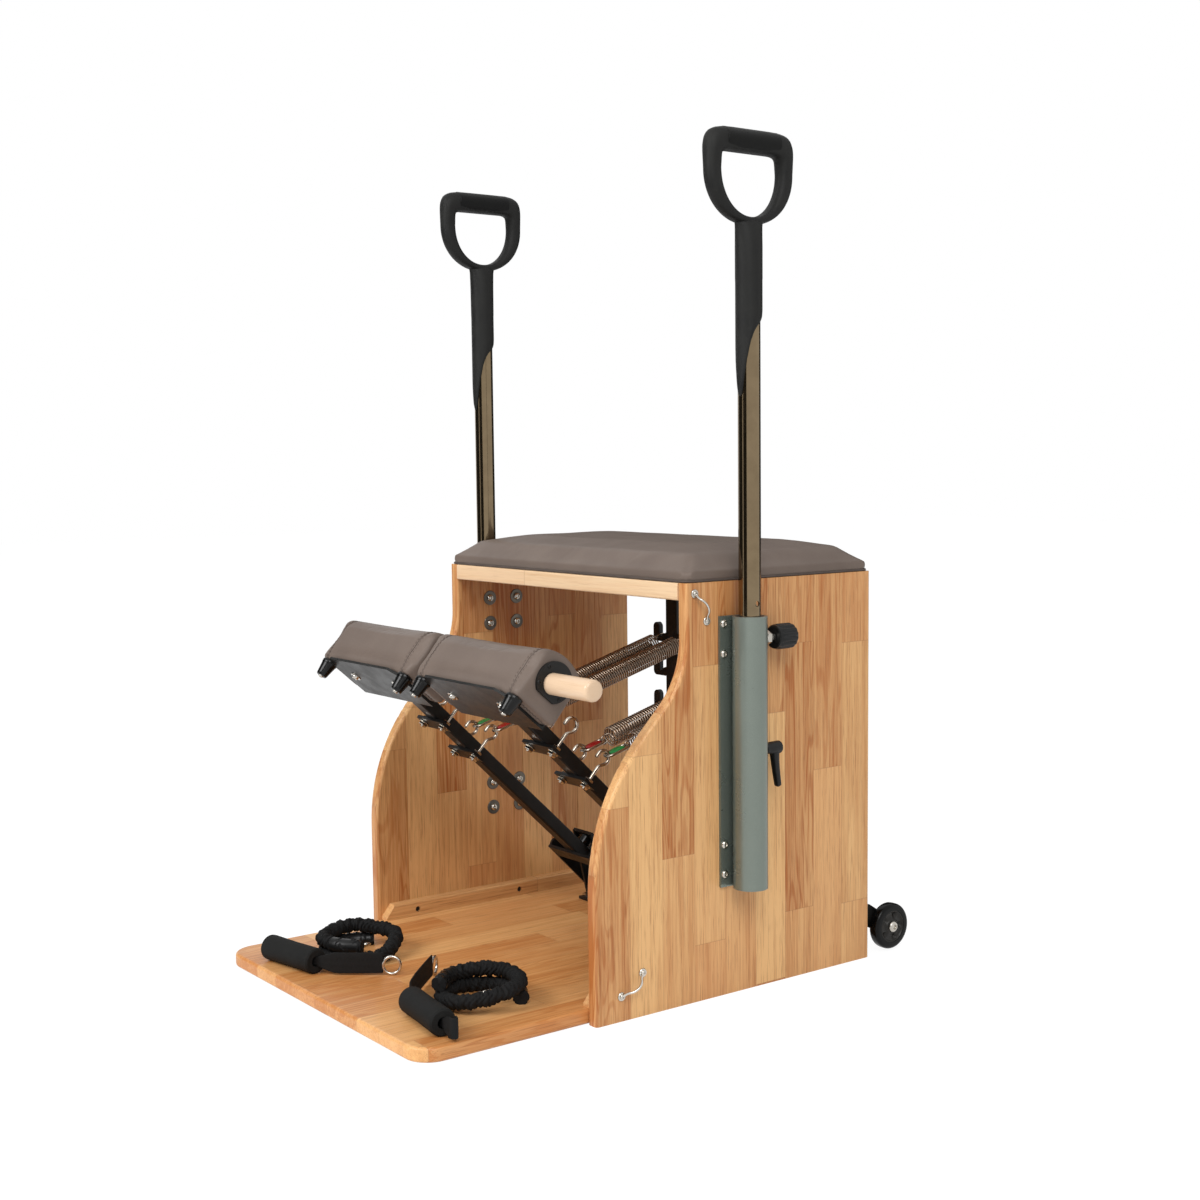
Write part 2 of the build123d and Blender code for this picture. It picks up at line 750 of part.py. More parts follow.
# Pedals
for side, s in sides:
    x = pedal_x(s)
    middle = pad_x(s)
    hook_places = [(x + way * hook_offset, station) for station in hook_stations for way in (-1, 1)]

    # Arm tube, cut to the slant of the pad bracket, with its fork and its hook plates welded on
    rear_leg = pad_plane(x, pad_depth + pad_plate_thickness)
    with BuildPart() as pedal_frame:
        with BuildSketch(arm_section(x, arm_foot)):
            RectangleRounded(arm_width, arm_depth, arm_corner)
            offset(amount=-arm_wall, mode=Mode.SUBTRACT)
        extrude(amount=pad_corner_fore)
        split(bisect_by=Plane(origin=rear_leg.origin, x_dir=(1, 0, 0), z_dir=rear_leg.x_dir), keep=Keep.TOP)
        for ear in (-1, 1):
            with BuildSketch(arm_plane(x + ear * fork_half_width)):
                Circle(fork_eye_radius)
                with Locations((fork_lobe_reach, fork_lobe_radius + plate_foot)):
                    Circle(fork_lobe_radius)
                make_hull()
                Circle(bush_radius, mode=Mode.SUBTRACT)
            extrude(amount=ear * fork_ear_thickness)
        web_middle = -(arm_depth + fork_web_thickness) / 2
        with BuildSketch(arm_plane(x, arm_foot + fork_web_length / 2, web_middle)):
            Rectangle(fork_web_length, fork_web_thickness)
        extrude(amount=fork_half_width, both=True)
        for station in hook_stations:
            with BuildSketch(arm_plane(x, station, -(arm_depth + hook_plate_thickness) / 2)):
                Rectangle(hook_plate_length, hook_plate_thickness)
            extrude(amount=hook_plate_half_width, both=True)
        for place, station in hook_places:
            with BuildSketch(lying_plane(arm_plane(place, station, plate_foot))):
                RegularPolygon(hook_wire, 6)
            extrude(amount=hook_plate_thickness, mode=Mode.SUBTRACT)
    save(pedal_frame.part, f"pedal_frame_{side}")

    with BuildPart() as pivot_bushes:
        for ear in (-1, 1):
            inner_face = x + ear * (fork_half_width - fork_ear_thickness)
            for radius, thickness in (
                (bush_radius, fork_ear_thickness),
                (bush_flange_radius, -bush_flange_thickness),
            ):
                with BuildSketch(Plane.YZ.offset(inner_face)):
                    with Locations((fore(pivot_fore), pivot_height)):
                        Circle(radius)
                        Circle(pivot_pin_radius + pivot_clearance, mode=Mode.SUBTRACT)
                extrude(amount=ear * thickness)
    save(pivot_bushes.part, f"pivot_bushes_{side}")

    with BuildPart() as spring_hooks:
        for place, station in hook_places:
            with BuildSketch(lying_plane(arm_plane(place, station, -hook_tail))):
                RegularPolygon(hook_wire, 6)
            sweep(path=arm_plane(place, station).location * hook_line.wire())
    save(spring_hooks.part, f"spring_hooks_{side}")

    # Steel bracket that carries the foot pad
    screw_face = lying_plane(pad_plane(middle, button_place, -pad_plate_thickness))
    with BuildPart() as pad_bracket:
        with BuildSketch(pad_plane(middle)):
            Polygon(
                (-pad_plate_overhang, 0),
                (-pad_plate_overhang, -pad_plate_thickness),
                (pad_depth + pad_plate_thickness, -pad_plate_thickness),
                (pad_depth + pad_plate_thickness, pad_plate_rise),
                (pad_depth, pad_plate_rise),
                (pad_depth, 0),
                align=None,
            )
        extrude(amount=pad_plate_half_width, both=True)
        plate_corners = pad_bracket.edges().filter_by(lambda edge: edge.length < 2 * pad_plate_thickness)
        chamfer(plate_corners.sort_by(Axis.Z)[-2:], length=pad_plate_chamfer)
        with BuildSketch(screw_face):
            with GridLocations(button_spacing, 1, 2, 1):
                Circle(bolt_radius)
        extrude(amount=pad_plate_thickness, mode=Mode.SUBTRACT)
    save(pad_bracket.part, f"pad_bracket_{side}")

    # Nuts that hold the hooks, and screws that hold the pad
    with BuildPart() as pedal_fasteners:
        for place, station in hook_places:
            for n in (plate_foot - nut_height, plate_foot + hook_plate_thickness):
                with BuildSketch(lying_plane(arm_plane(place, station, n))):
                    RegularPolygon(nut_radius, 6)
                    RegularPolygon(hook_wire, 6, mode=Mode.SUBTRACT)
                extrude(amount=nut_height)
        with BuildSketch(screw_face):
            with GridLocations(button_spacing, 1, 2, 1):
                Circle(bolt_radius)
        extrude(amount=pad_plate_thickness)
        with BuildSketch(screw_face):
            with GridLocations(button_spacing, 1, 2, 1):
                Circle(plate_screw_radius)
        extrude(amount=-plate_screw_head)
    save(pedal_fasteners.part, f"pedal_fasteners_{side}")

    with BuildPart() as pad_bumpers:
        with BuildSketch(lying_plane(pad_plane(middle, bumper_place))):
            with GridLocations(bumper_spacing, 1, 2, 1):
                Circle(bumper_top_radius)
        extrude(amount=-bumper_length, taper=bumper_taper)
    save(pad_bumpers.part, f"pad_bumpers_{side}")

    # Foot pad, and the steel flange on its right end that the dowel runs through
    pad_right = middle + pad_width / 2
    bore_start = dowel_heel - dowel_pad_clearance if s < 0 else middle - pad_width / 2
    with BuildPart() as foot_pad:
        with BuildSketch(pad_plane(middle)) as pad_outline:
            Polygon(
                (0, 0),
                (pad_depth, 0),
                (pad_depth, pad_rear_height),
                (pad_crown_place, pad_crown_height),
                (0, pad_front_height),
                align=None,
            )
            fillet(pad_outline.vertices().sort_by(Axis.Y)[-1], radius=pad_crown_rounding)
            fillet(pad_outline.vertices().group_by(Axis.Y)[0], radius=pad_foot_rounding)
            for corner in ((0, pad_front_height), (pad_depth, pad_rear_height)):
                fillet(pad_outline.vertices().sort_by_distance(corner)[0], radius=pad_rounding)
        extrude(amount=pad_width / 2, both=True)
        chamfer(foot_pad.faces().filter_by(Axis.X).edges(), length=pad_end_chamfer)
        with BuildSketch(pad_plane(bore_start, dowel_u, dowel_w)):
            Circle(dowel_radius + dowel_pad_clearance)
        extrude(amount=pad_right - bore_start, mode=Mode.SUBTRACT)
    save(foot_pad.part, f"foot_pad_{side}")

    with BuildPart() as pad_flange:
        with BuildSketch(pad_plane(pad_right)):
            with Locations((flange_u, flange_w)):
                Circle(flange_radius)
            with Locations((flange_u, flange_flat)):
                Rectangle(
                    2 * flange_radius, flange_radius, align=(Align.CENTER, Align.MAX), mode=Mode.SUBTRACT
                )
            with Locations((dowel_u, dowel_w)):
                Circle(dowel_radius + dowel_clearance, mode=Mode.SUBTRACT)
        extrude(amount=flange_thickness)
    save(pad_flange.part, f"pad_flange_{side}")

    # Springs: a ring on each lower hook, a coloured insert in it, and the spring up to the tree
    web_height = tree_lug_height - tree_notch_depth
    eye_room = spring_rear_eye - spring_wire - spring_clearance
    eye_shift = sqrt(eye_room**2 - (web_height / 2) ** 2) - tree_thickness / 2
    lug_foot = cabinet_height - tree_top_lug_drop
    spring_planes = []
    for way in (-1, 1):
        lane = x + way * hook_offset
        hook_at = arm_plane(lane, hook_station_low).from_local_coords(hook_centre)
        tree_at = Vector(lane, tree_front + tree_thickness / 2 - eye_shift, lug_foot + web_height / 2)
        line = tree_at - hook_at
        spring_planes.append((Plane(origin=hook_at, x_dir=line, z_dir=(1, 0, 0)), line.length))
    ring_front = hook_bend_radius - hook_wire - link_wire - link_gap
    ring_back = ring_front + link_length - 2 * link_wire
    ring_middle = (ring_front + ring_back) / 2
    insert_back = ring_back - link_insert_back

    with BuildPart() as spring_links:
        for here, reach in spring_planes:
            with BuildSketch(Plane(origin=here.origin, x_dir=here.x_dir, z_dir=here.y_dir)):
                with Locations((ring_middle, 0)):
                    SlotOverall(link_length, link_width)
                    SlotOverall(link_length - 4 * link_wire, link_width - 4 * link_wire, mode=Mode.SUBTRACT)
            extrude(amount=link_wire, both=True)
    save(spring_links.part, f"spring_links_{side}")

    with BuildPart() as link_inserts:
        for here, reach in spring_planes:
            with BuildSketch(Plane(origin=here.origin, x_dir=here.x_dir, z_dir=here.y_dir)):
                with Locations(((link_insert_front + insert_back) / 2, 0)):
                    Rectangle(insert_back - link_insert_front, link_width - 4 * link_wire)
            extrude(amount=link_insert_thickness / 2, both=True)
    save(link_inserts.part, f"link_inserts_{side}")

    ring_room = sqrt((spring_front_eye - spring_wire) ** 2 - link_wire**2)
    front_eye_at = ring_back + ring_room - link_wire - 2 * spring_clearance
    springs = []
    for here, reach in spring_planes:
        stations = spring_stations(front_eye_at, reach)
        placed = []
        for point, heading in stations:
            at = here.from_local_coords(point)
            placed.append((at, here.from_local_coords(point + heading) - at))
        tip, tip_dir = placed[0]
        with BuildPart() as spring:
            with BuildSketch(Plane(origin=tip - tip_dir * spring_tip, x_dir=(1, 0, 0), z_dir=tip_dir)):
                Rectangle(spring_wire_side, spring_wire_side)
            sweep(path=smooth_wire(placed, spring_tip, spring_tip), clean=False)
        springs.append(spring.part)
    save(Compound(children=springs), f"spring_pair_{side}")

spring_points = [point for point, heading in stations]
print("least gap in a spring", round(least_gap(spring_points, 2 * spring_wire, spring_radius), 2))

# The dowel that locks the two pads together
with BuildPart() as dowel:
    with BuildSketch(pad_plane(dowel_heel, dowel_u, dowel_w)):
        Circle(dowel_radius)
    extrude(amount=dowel_tip - dowel_heel)
    chamfer(dowel.edges().filter_by(GeomType.CIRCLE), length=dowel_end_chamfer)
save(dowel.part, "dowel")

# Handle sleeves on the outer faces: a flange plate, a neck and a tube, in one casting each
pole_y = fore(pole_fore)
sleeve_bolt_rows = [
    (fore(pole_fore + row * sleeve_bolt_offset), height) for row in (-1, 1) for height in sleeve_bolt_heights
]
liner_radius = sleeve_radius - sleeve_wall
with BuildPart() as handle_sleeves:
    for side, s in sides:
        pole_x = s * (half_width + pole_standoff)
        with BuildSketch(Plane.XY.offset(sleeve_foot)):
            with Locations((s * (half_width + sleeve_flange_thickness / 2), pole_y)):
                Rectangle(sleeve_flange_thickness, 2 * sleeve_flange_half_width)
            with Locations((s * (half_width + pole_standoff / 2), pole_y)):
                Rectangle(pole_standoff, 2 * sleeve_neck_half_width)
            with Locations((pole_x, pole_y)):
                Circle(sleeve_radius)
                Circle(liner_radius, mode=Mode.SUBTRACT)
        extrude(amount=sleeve_head - sleeve_foot)
        with BuildSketch(Plane.XZ.offset(-pole_y)):
            with Locations((pole_x, index_height)):
                Circle(index_housing_radius)
            with Locations((pole_x, lever_height)):
                Circle(lever_screw_radius + slide_clearance)
        extrude(amount=-sleeve_radius, mode=Mode.SUBTRACT)
        with BuildSketch(Plane.YZ.offset(s * half_width)):
            with Locations(*sleeve_bolt_rows):
                Circle(bolt_radius)
        extrude(amount=s * sleeve_flange_thickness, mode=Mode.SUBTRACT)
save(handle_sleeves.part, "handle_sleeves")

with BuildPart() as sleeve_liners:
    for side, s in sides:
        pole_x = s * (half_width + pole_standoff)
        for foot in (sleeve_foot, sleeve_head - liner_length):
            with BuildSketch(Plane.XY.offset(foot)):
                with Locations((pole_x, pole_y)):
                    Circle(liner_radius)
                    Circle(pole_radius + slide_clearance, mode=Mode.SUBTRACT)
            extrude(amount=liner_length)
        with BuildSketch(Plane.XZ.offset(-pole_y)):
            with Locations((pole_x, index_height)):
                Circle(index_pin_radius + index_hole_clearance)
        extrude(amount=-sleeve_radius, mode=Mode.SUBTRACT)
save(sleeve_liners.part, "sleeve_liners")

# Bolts of the sleeves: heads outside, nuts inside the cabinet
with BuildPart() as sleeve_bolts:
    for side, s in sides:
        with BuildSketch(Plane.YZ.offset(s * (half_width + sleeve_flange_thickness))):
            with Locations(*sleeve_bolt_rows):
                Circle(bolt_head_radius)
        extrude(amount=s * bolt_head_height)
        with BuildSketch(Plane.YZ.offset(s * (half_width + sleeve_flange_thickness))):
            with Locations(*sleeve_bolt_rows):
                Circle(bolt_radius)
        extrude(amount=-s * (panel_thickness + sleeve_flange_thickness))
        with BuildSketch(Plane.YZ.offset(s * inner_half_width)):
            with Locations(*sleeve_bolt_rows):
                RegularPolygon(hex_radius, 6)
        extrude(amount=-s * hex_height)
save(sleeve_bolts.part, "sleeve_bolts")

# Index pins behind the sleeves: a housing in the sleeve's wall, and a pin with a fluted knob
knob_start = sleeve_radius + index_housing_length + index_knob_gap
with BuildPart() as index_housings:
    for side, s in sides:
        with BuildSketch(Plane.XZ.offset(-(pole_y + liner_radius))):
            with Locations((s * (half_width + pole_standoff), index_height)):
                Circle(index_housing_radius)
                Circle(index_pin_radius + slide_clearance, mode=Mode.SUBTRACT)
        extrude(amount=-(sleeve_wall + index_housing_length))
save(index_housings.part, "index_housings")

for side, s in sides:
    pole_x = s * (half_width + pole_standoff)
    with BuildPart() as index_pin:
        with BuildSketch(Plane.XZ.offset(-(pole_y + pole_radius - index_pin_reach))):
            with Locations((pole_x, index_height)):
                Circle(index_pin_radius)
        extrude(amount=-(knob_start - pole_radius + index_pin_reach))
        with BuildSketch(Plane.XZ.offset(-(pole_y + knob_start))):
            with Locations((pole_x, index_height)):
                Circle(index_knob_radius)
                with PolarLocations(index_knob_radius + index_flute_radius / 2, index_flutes):
                    Circle(index_flute_radius, mode=Mode.SUBTRACT)
        extrude(amount=-index_knob_length)
    save(index_pin.part, f"index_pin_{side}")

    # Pole, with a row of index holes behind and one cross hole that faces outward
    hole_steps = range(-index_holes_each_way, index_holes_each_way + 1)
    hole_heights = [index_height + step * index_pitch for step in hole_steps]
    with BuildPart() as handle_pole:
        with BuildSketch(Plane.XY.offset(pole_foot)):
            with Locations((pole_x, pole_y)):
                Circle(pole_radius)
                Circle(pole_radius - pole_wall, mode=Mode.SUBTRACT)
        extrude(amount=pole_head - pole_foot)
        with BuildSketch(Plane.XZ.offset(-pole_y)):
            with Locations(*[(pole_x, height) for height in hole_heights]):
                Circle(index_pin_radius + index_hole_clearance)
        extrude(amount=-pole_radius, mode=Mode.SUBTRACT)
        with BuildSketch(Plane.YZ.offset(pole_x)):
            with Locations((pole_y, cross_hole_height)):
                Circle(index_pin_radius)
        extrude(amount=s * pole_radius, mode=Mode.SUBTRACT)
    save(handle_pole.part, f"handle_pole_{side}")

    # Grip: a D-shaped loop on a socket that is cut to a tongue along its front
    with BuildPart() as handle_grip:
        with BuildSketch(Plane.YZ.offset(pole_x)):
            with Locations((pole_y, grip_shoulder)):
                Circle(grip_half_width)
                Rectangle(2 * grip_half_width, grip_top - grip_shoulder, align=(Align.CENTER, Align.MIN))
            with Locations((pole_y, grip_top)):
                Rectangle(
                    2 * grip_half_width, grip_half_width, align=(Align.CENTER, Align.MIN), mode=Mode.SUBTRACT
                )
            with Locations((pole_y, grip_neck_height)):
                Rectangle(2 * grip_neck_half_width, grip_blend, align=(Align.CENTER, Align.MAX))
            with Locations((pole_y, grip_opening_foot + grip_opening_half_width)):
                Circle(grip_opening_half_width, mode=Mode.SUBTRACT)
            with Locations((pole_y, grip_opening_head)):
                Rectangle(
                    2 * grip_opening_half_width,
                    grip_opening_head - grip_opening_foot - grip_opening_half_width,
                    align=(Align.CENTER, Align.MAX),
                    mode=Mode.SUBTRACT,
                )
                Rectangle(2 * grip_half_width, grip_top - grip_opening_head, align=(Align.CENTER, Align.MIN))
        extrude(amount=grip_depth / 2, both=True)
        chamfer(handle_grip.faces().filter_by(Axis.X).edges(), length=grip_chamfer)
        with BuildSketch(Plane.XY.offset(grip_tongue_height)):
            with Locations((pole_x, pole_y)):
                Circle(grip_socket_radius)
        extrude(amount=grip_neck_height - grip_tongue_height)
        with BuildSketch(Plane.XY.offset(grip_tongue_height)):
            with Locations((pole_x, pole_y)):
                Circle(pole_radius)
        extrude(amount=pole_head - grip_tongue_height, mode=Mode.SUBTRACT)
        with BuildSketch(Plane.YZ.offset(pole_x)):
            with Locations((pole_y, 0)):
                Polygon(
                    (grip_tongue_place, grip_tongue_height),
                    (grip_v_place, grip_v_height),
                    (grip_socket_radius, grip_heel_height),
                    (grip_socket_radius, grip_tongue_height),
                    align=None,
                )
        extrude(amount=grip_socket_radius, both=True, mode=Mode.SUBTRACT)
    save(handle_grip.part, f"handle_grip_{side}")

    # Clamp lever: a screw through the sleeve's wall, a round hub and a lever that hangs down
    lever_start = sleeve_radius + lever_gap
    with BuildPart() as clamp_lever:
        with BuildSketch(Plane.XZ.offset(-(pole_y + pole_radius + lever_screw_tip))):
            with Locations((pole_x, lever_height)):
                Circle(lever_screw_radius)
        extrude(amount=-(lever_start - pole_radius - lever_screw_tip))
        with BuildSketch(Plane.XZ.offset(-(pole_y + lever_start))):
            with Locations((pole_x, lever_height)):
                Circle(lever_hub_radius)
        extrude(amount=-lever_hub_length)
        with BuildSketch(Plane.XZ.offset(-(pole_y + lever_start + lever_inset))):
            with Locations((pole_x, lever_height)):
                Circle(lever_hub_radius)
            with Locations((pole_x, lever_height - lever_reach + lever_tip_radius)):
                Circle(lever_tip_radius)
            make_hull()
        extrude(amount=-lever_thickness)
    save(clamp_lever.part, f"clamp_lever_{side}")

# Transport wheels behind the panels, on brackets screwed to the panels' inner faces
wheel_y = rear_face + wheel_behind
with BuildPart() as wheel_brackets:
    for side, s in sides:
        with BuildSketch(Plane.YZ.offset(s * inner_half_width)):
            with Locations((rear_face + wheel_bracket_overhang, wheel_bracket_foot)):
                Rectangle(
                    wheel_bracket_overhang - wheel_bracket_step,
                    wheel_bracket_height,
                    align=(Align.MAX, Align.MIN),
                )
            with Locations((wheel_y, wheel_height)):
                Circle(wheel_bracket_eye)
            make_hull()
            with Locations((rear_face + wheel_bracket_overhang, wheel_bracket_foot)):
                Rectangle(
                    wheel_bracket_overhang + wheel_bracket_grip,
                    wheel_bracket_height,
                    align=(Align.MAX, Align.MIN),
                )
            with Locations((wheel_y, wheel_height)):
                Circle(wheel_axle_radius, mode=Mode.SUBTRACT)
            with Locations(*[(fore(reach), wheel_bolt_height) for reach in wheel_bolt_fronts]):
                Circle(bolt_radius, mode=Mode.SUBTRACT)
        extrude(amount=-s * wheel_bracket_thickness)
save(wheel_brackets.part, "wheel_brackets")

tyre_start = inner_half_width + wheel_gap
bolt_start = inner_half_width - wheel_bracket_thickness
axle_end = tyre_start + wheel_width + wheel_gap
with BuildPart() as wheel_bolts:
    for side, s in sides:
        for start, length, radius in (
            (bolt_start, -bolt_head_height, bolt_head_radius),
            (bolt_start, axle_end - bolt_start, wheel_axle_radius),
            (axle_end, bolt_head_height, wheel_cap_radius),
        ):
            with BuildSketch(Plane.YZ.offset(s * start)):
                with Locations((wheel_y, wheel_height)):
                    Circle(radius)
            extrude(amount=s * length)
        for start, length, radius in (
            (bolt_start, -bolt_head_height, bolt_head_radius),
            (bolt_start, wheel_bracket_thickness + cleat_screw_grip, bolt_radius),
        ):
            with BuildSketch(Plane.YZ.offset(s * start)):
                with Locations(*[(fore(reach), wheel_bolt_height) for reach in wheel_bolt_fronts]):
                    Circle(radius)
            extrude(amount=s * length)
save(wheel_bolts.part, "wheel_bolts")

for side, s in sides:
    with BuildPart() as wheel_tyre:
        with BuildSketch(Plane.YZ.offset(s * tyre_start)):
            with Locations((wheel_y, wheel_height)):
                Circle(wheel_radius)
                Circle(wheel_hub_radius, mode=Mode.SUBTRACT)
        extrude(amount=s * wheel_width)
    save(wheel_tyre.part, f"wheel_tyre_{side}")

    with BuildPart() as wheel_hub:
        with BuildSketch(Plane.YZ.offset(s * tyre_start)):
            with Locations((wheel_y, wheel_height)):
                Circle(wheel_hub_radius)
                Circle(wheel_axle_radius + wheel_clearance, mode=Mode.SUBTRACT)
        extrude(amount=s * wheel_width)
    save(wheel_hub.part, f"wheel_hub_{side}")

# Wire eyes on the panels' outer faces, where the cords can hook on
with BuildPart() as pad_eyes:
    for side, s in sides:
        for feet in eye_feet:
            places = [Vector(s * half_width, fore(distance), height) for distance, height in feet]
            crown = (places[0] + places[1]) * 0.5 + Vector(s * eye_rise, 0, 0)
            with BuildLine() as eye_line:
                ThreePointArc(places[0], crown, places[1])
            with BuildSketch(Plane(origin=places[0], z_dir=eye_line.line.edge() % 0)):
                RegularPolygon(eye_wire, 6)
            sweep(path=eye_line.wire())
            with BuildSketch(Plane.YZ.offset(s * half_width)):
                with Locations(*[(place.Y, place.Z) for place in places]):
                    Circle(eye_pad_radius)
            extrude(amount=s * eye_pad_thickness)
    Box(cabinet_width, foot_depth + rear_face, 2 * cabinet_height, mode=Mode.SUBTRACT)
save(pad_eyes.part, "pad_eyes")

# Resistance cords, coiled on the base board: each layer lies flat and climbs on to the next
cord_foot = base_thickness + cord_radius * cos(radians(30))


def cord_height(angle):
    """The height of the coiled cord's middle at an angle along it."""
    share = (angle - cord_climb_start) / (cord_climb_end - cord_climb_start)
    share = min(max(share, 0.0), 1.0)
    return cord_foot + cord_layer_pitch * share * share * (3 - 2 * share)


def cord_slope(angle):
    """How fast the coiled cord climbs at an angle along it, per radian."""
    share = (angle - cord_climb_start) / (cord_climb_end - cord_climb_start)
    if not 0 < share < 1:
        return 0.0
    return cord_layer_pitch * 6 * share * (1 - share) / radians(cord_climb_end - cord_climb_start)


def cord_station(centre, turn, angle):
    """A point and direction on a coiled cord that starts at a turn about its centre."""
    a = radians(turn + angle)
    out = Vector(cord_loop_radius * cos(a), cord_loop_radius * sin(a), 0)
    heading = Vector(-out.Y, out.X, cord_slope(angle))
    return Vector(centre[0], fore(centre[1]), cord_height(angle)) + out, heading.normalized()


for (side, s), centre, turn in zip(sides, cord_centres, cord_turns):
    steps = round(cord_end / cord_step)
    stations = [cord_station(centre, turn, cord_end * i / steps) for i in range(steps + 1)]
    start, start_dir = stations[0]
    with BuildPart() as cord_coil:
        tail = start - start_dir * 2 * cord_radius
        with BuildSketch(Plane(origin=tail, x_dir=(0, 0, 1), z_dir=start_dir)):
            RegularPolygon(cord_radius, 6, rotation=30)
        sweep(path=smooth_wire(stations, 2 * cord_radius, 2 * cord_radius), clean=False)
    save(cord_coil.part, f"cord_coil_{side}")
    points = [cord_station(centre, turn, cord_end * i / gap_steps)[0] for i in range(gap_steps + 1)]
    print("least gap in a cord", round(least_gap(points, 2 * cord_radius, cord_loop_radius), 2))

foam_height = base_thickness + foam_radius
with BuildPart() as foam_grips:
    for near, far in foam_ends:
        start = Vector(near[0], fore(near[1]), foam_height)
        end = Vector(far[0], fore(far[1]), foam_height)
        with BuildSketch(Plane(origin=start, z_dir=end - start)):
            Circle(foam_radius)
            Circle(foam_bore, mode=Mode.SUBTRACT)
        extrude(amount=(end - start).length)
save(foam_grips.part, "foam_grips")

with BuildPart() as grip_straps:
    for (near, far), route in zip(foam_ends, strap_routes):
        start = Vector(near[0], fore(near[1]))
        end = Vector(far[0], fore(far[1]))
        with BuildSketch(Plane.XY.offset(foam_height - strap_width / 2)):
            with BuildLine() as strap_line:
                tail = start - (end - start).normalized() * strap_tail
                Polyline(tail, end, *[(x, fore(y)) for x, y in route])
            trace(line_width=strap_thickness)
        extrude(amount=strap_width)
save(grip_straps.part, "grip_straps")

# Rings at the straps' ends, on edge, and clips that lie on the base between ring and coil
with BuildPart() as strap_rings:
    for route in strap_routes:
        before, last = [Vector(x, fore(y)) for x, y in route]
        along = (last - before).normalized()
        middle_point = last + along * ring_radius + Vector(0, 0, base_thickness + ring_radius)
        with BuildSketch(Plane(origin=middle_point, x_dir=along, z_dir=along.cross(Vector(0, 0, 1)))):
            Circle(ring_radius)
            Circle(ring_radius - ring_wire, mode=Mode.SUBTRACT)
        extrude(amount=ring_wire / 2, both=True)
save(strap_rings.part, "strap_rings")

with BuildPart() as cord_clips:
    for centre in cord_centres:
        with BuildSketch(Plane.XY.offset(base_thickness)):
            with Locations((centre[0], fore(centre[1]))):
                SlotOverall(clip_length, clip_width)
                SlotOverall(clip_length - 2 * clip_wire, clip_width - 2 * clip_wire, mode=Mode.SUBTRACT)
        extrude(amount=clip_wire)
save(cord_clips.part, "cord_clips")
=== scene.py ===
"""The looks of the pilates chair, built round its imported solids.

All lengths are in metres, in the same frame as the solids: +X to the right of someone who faces the chair's
front, +Y to its back, +Z up, with the origin on the floor.
"""

import json
import math

import bmesh
import bpy
import numpy as np
from mathutils import Matrix, Vector
from mathutils.bvhtree import BVHTree

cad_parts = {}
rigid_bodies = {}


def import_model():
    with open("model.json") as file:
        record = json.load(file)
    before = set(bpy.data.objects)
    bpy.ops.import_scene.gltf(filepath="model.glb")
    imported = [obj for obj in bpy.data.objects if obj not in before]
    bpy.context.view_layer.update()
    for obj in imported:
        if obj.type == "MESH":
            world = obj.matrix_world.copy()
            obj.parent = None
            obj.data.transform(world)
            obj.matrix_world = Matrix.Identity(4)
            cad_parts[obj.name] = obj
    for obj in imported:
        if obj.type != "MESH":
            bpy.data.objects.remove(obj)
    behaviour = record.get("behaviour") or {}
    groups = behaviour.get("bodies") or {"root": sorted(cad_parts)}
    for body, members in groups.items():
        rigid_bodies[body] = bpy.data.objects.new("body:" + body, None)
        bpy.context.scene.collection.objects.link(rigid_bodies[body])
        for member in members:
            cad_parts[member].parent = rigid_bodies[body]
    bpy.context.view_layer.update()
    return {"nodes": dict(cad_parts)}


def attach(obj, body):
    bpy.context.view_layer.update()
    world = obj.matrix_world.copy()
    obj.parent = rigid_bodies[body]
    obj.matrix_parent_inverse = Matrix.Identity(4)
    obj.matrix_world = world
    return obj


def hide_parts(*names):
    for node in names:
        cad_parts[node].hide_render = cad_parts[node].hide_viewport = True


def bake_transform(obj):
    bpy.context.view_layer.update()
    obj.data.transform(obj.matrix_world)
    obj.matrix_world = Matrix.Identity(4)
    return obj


for leftover in list(bpy.data.objects):
    bpy.data.objects.remove(leftover)
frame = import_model()
nodes = frame["nodes"]
SIDES = (("left", -1), ("right", 1))

# ------------------------------------------------------------------ sizes

BASE_TOP = 0.0208
CABINET_TOP = 0.600
PANEL_OUT = 0.3117
PANEL_IN = 0.2917
PEDAL_X = 0.14875
PAD_X = 0.14375
PAD_WIDTH = 0.2655
HOOK_STATIONS = (0.394, 0.4717)
LANE = 0.029
POLE_X = 0.341
POLE_Y = 0.080
POLE_RADIUS = 0.016
WHEEL_Y, WHEEL_Z = 0.404, 0.038
ARM_SLOPE = math.radians(43.6)
PAD_TILT = math.radians(41.0)


def arm_point(x, station, rise):
    """A point on a pedal: station runs up along the arm, rise points up and back, square to the arm."""
    along, across = math.cos(ARM_SLOPE), math.sin(ARM_SLOPE)
    y = 0.205 - along * station + across * rise
    z = 0.0465 + across * station + along * rise
    return np.stack(np.broadcast_arrays(x, y, z), -1)


def pad_point(x, back, rise):
    """A point on a foot pad: back runs along its underside, rise crosses it."""
    along, across = math.cos(PAD_TILT), math.sin(PAD_TILT)
    y = -0.276 + along * back + across * rise
    z = 0.467 - across * back + along * rise
    return np.stack(np.broadcast_arrays(x, y, z), -1)


# ------------------------------------------------------------------ camera


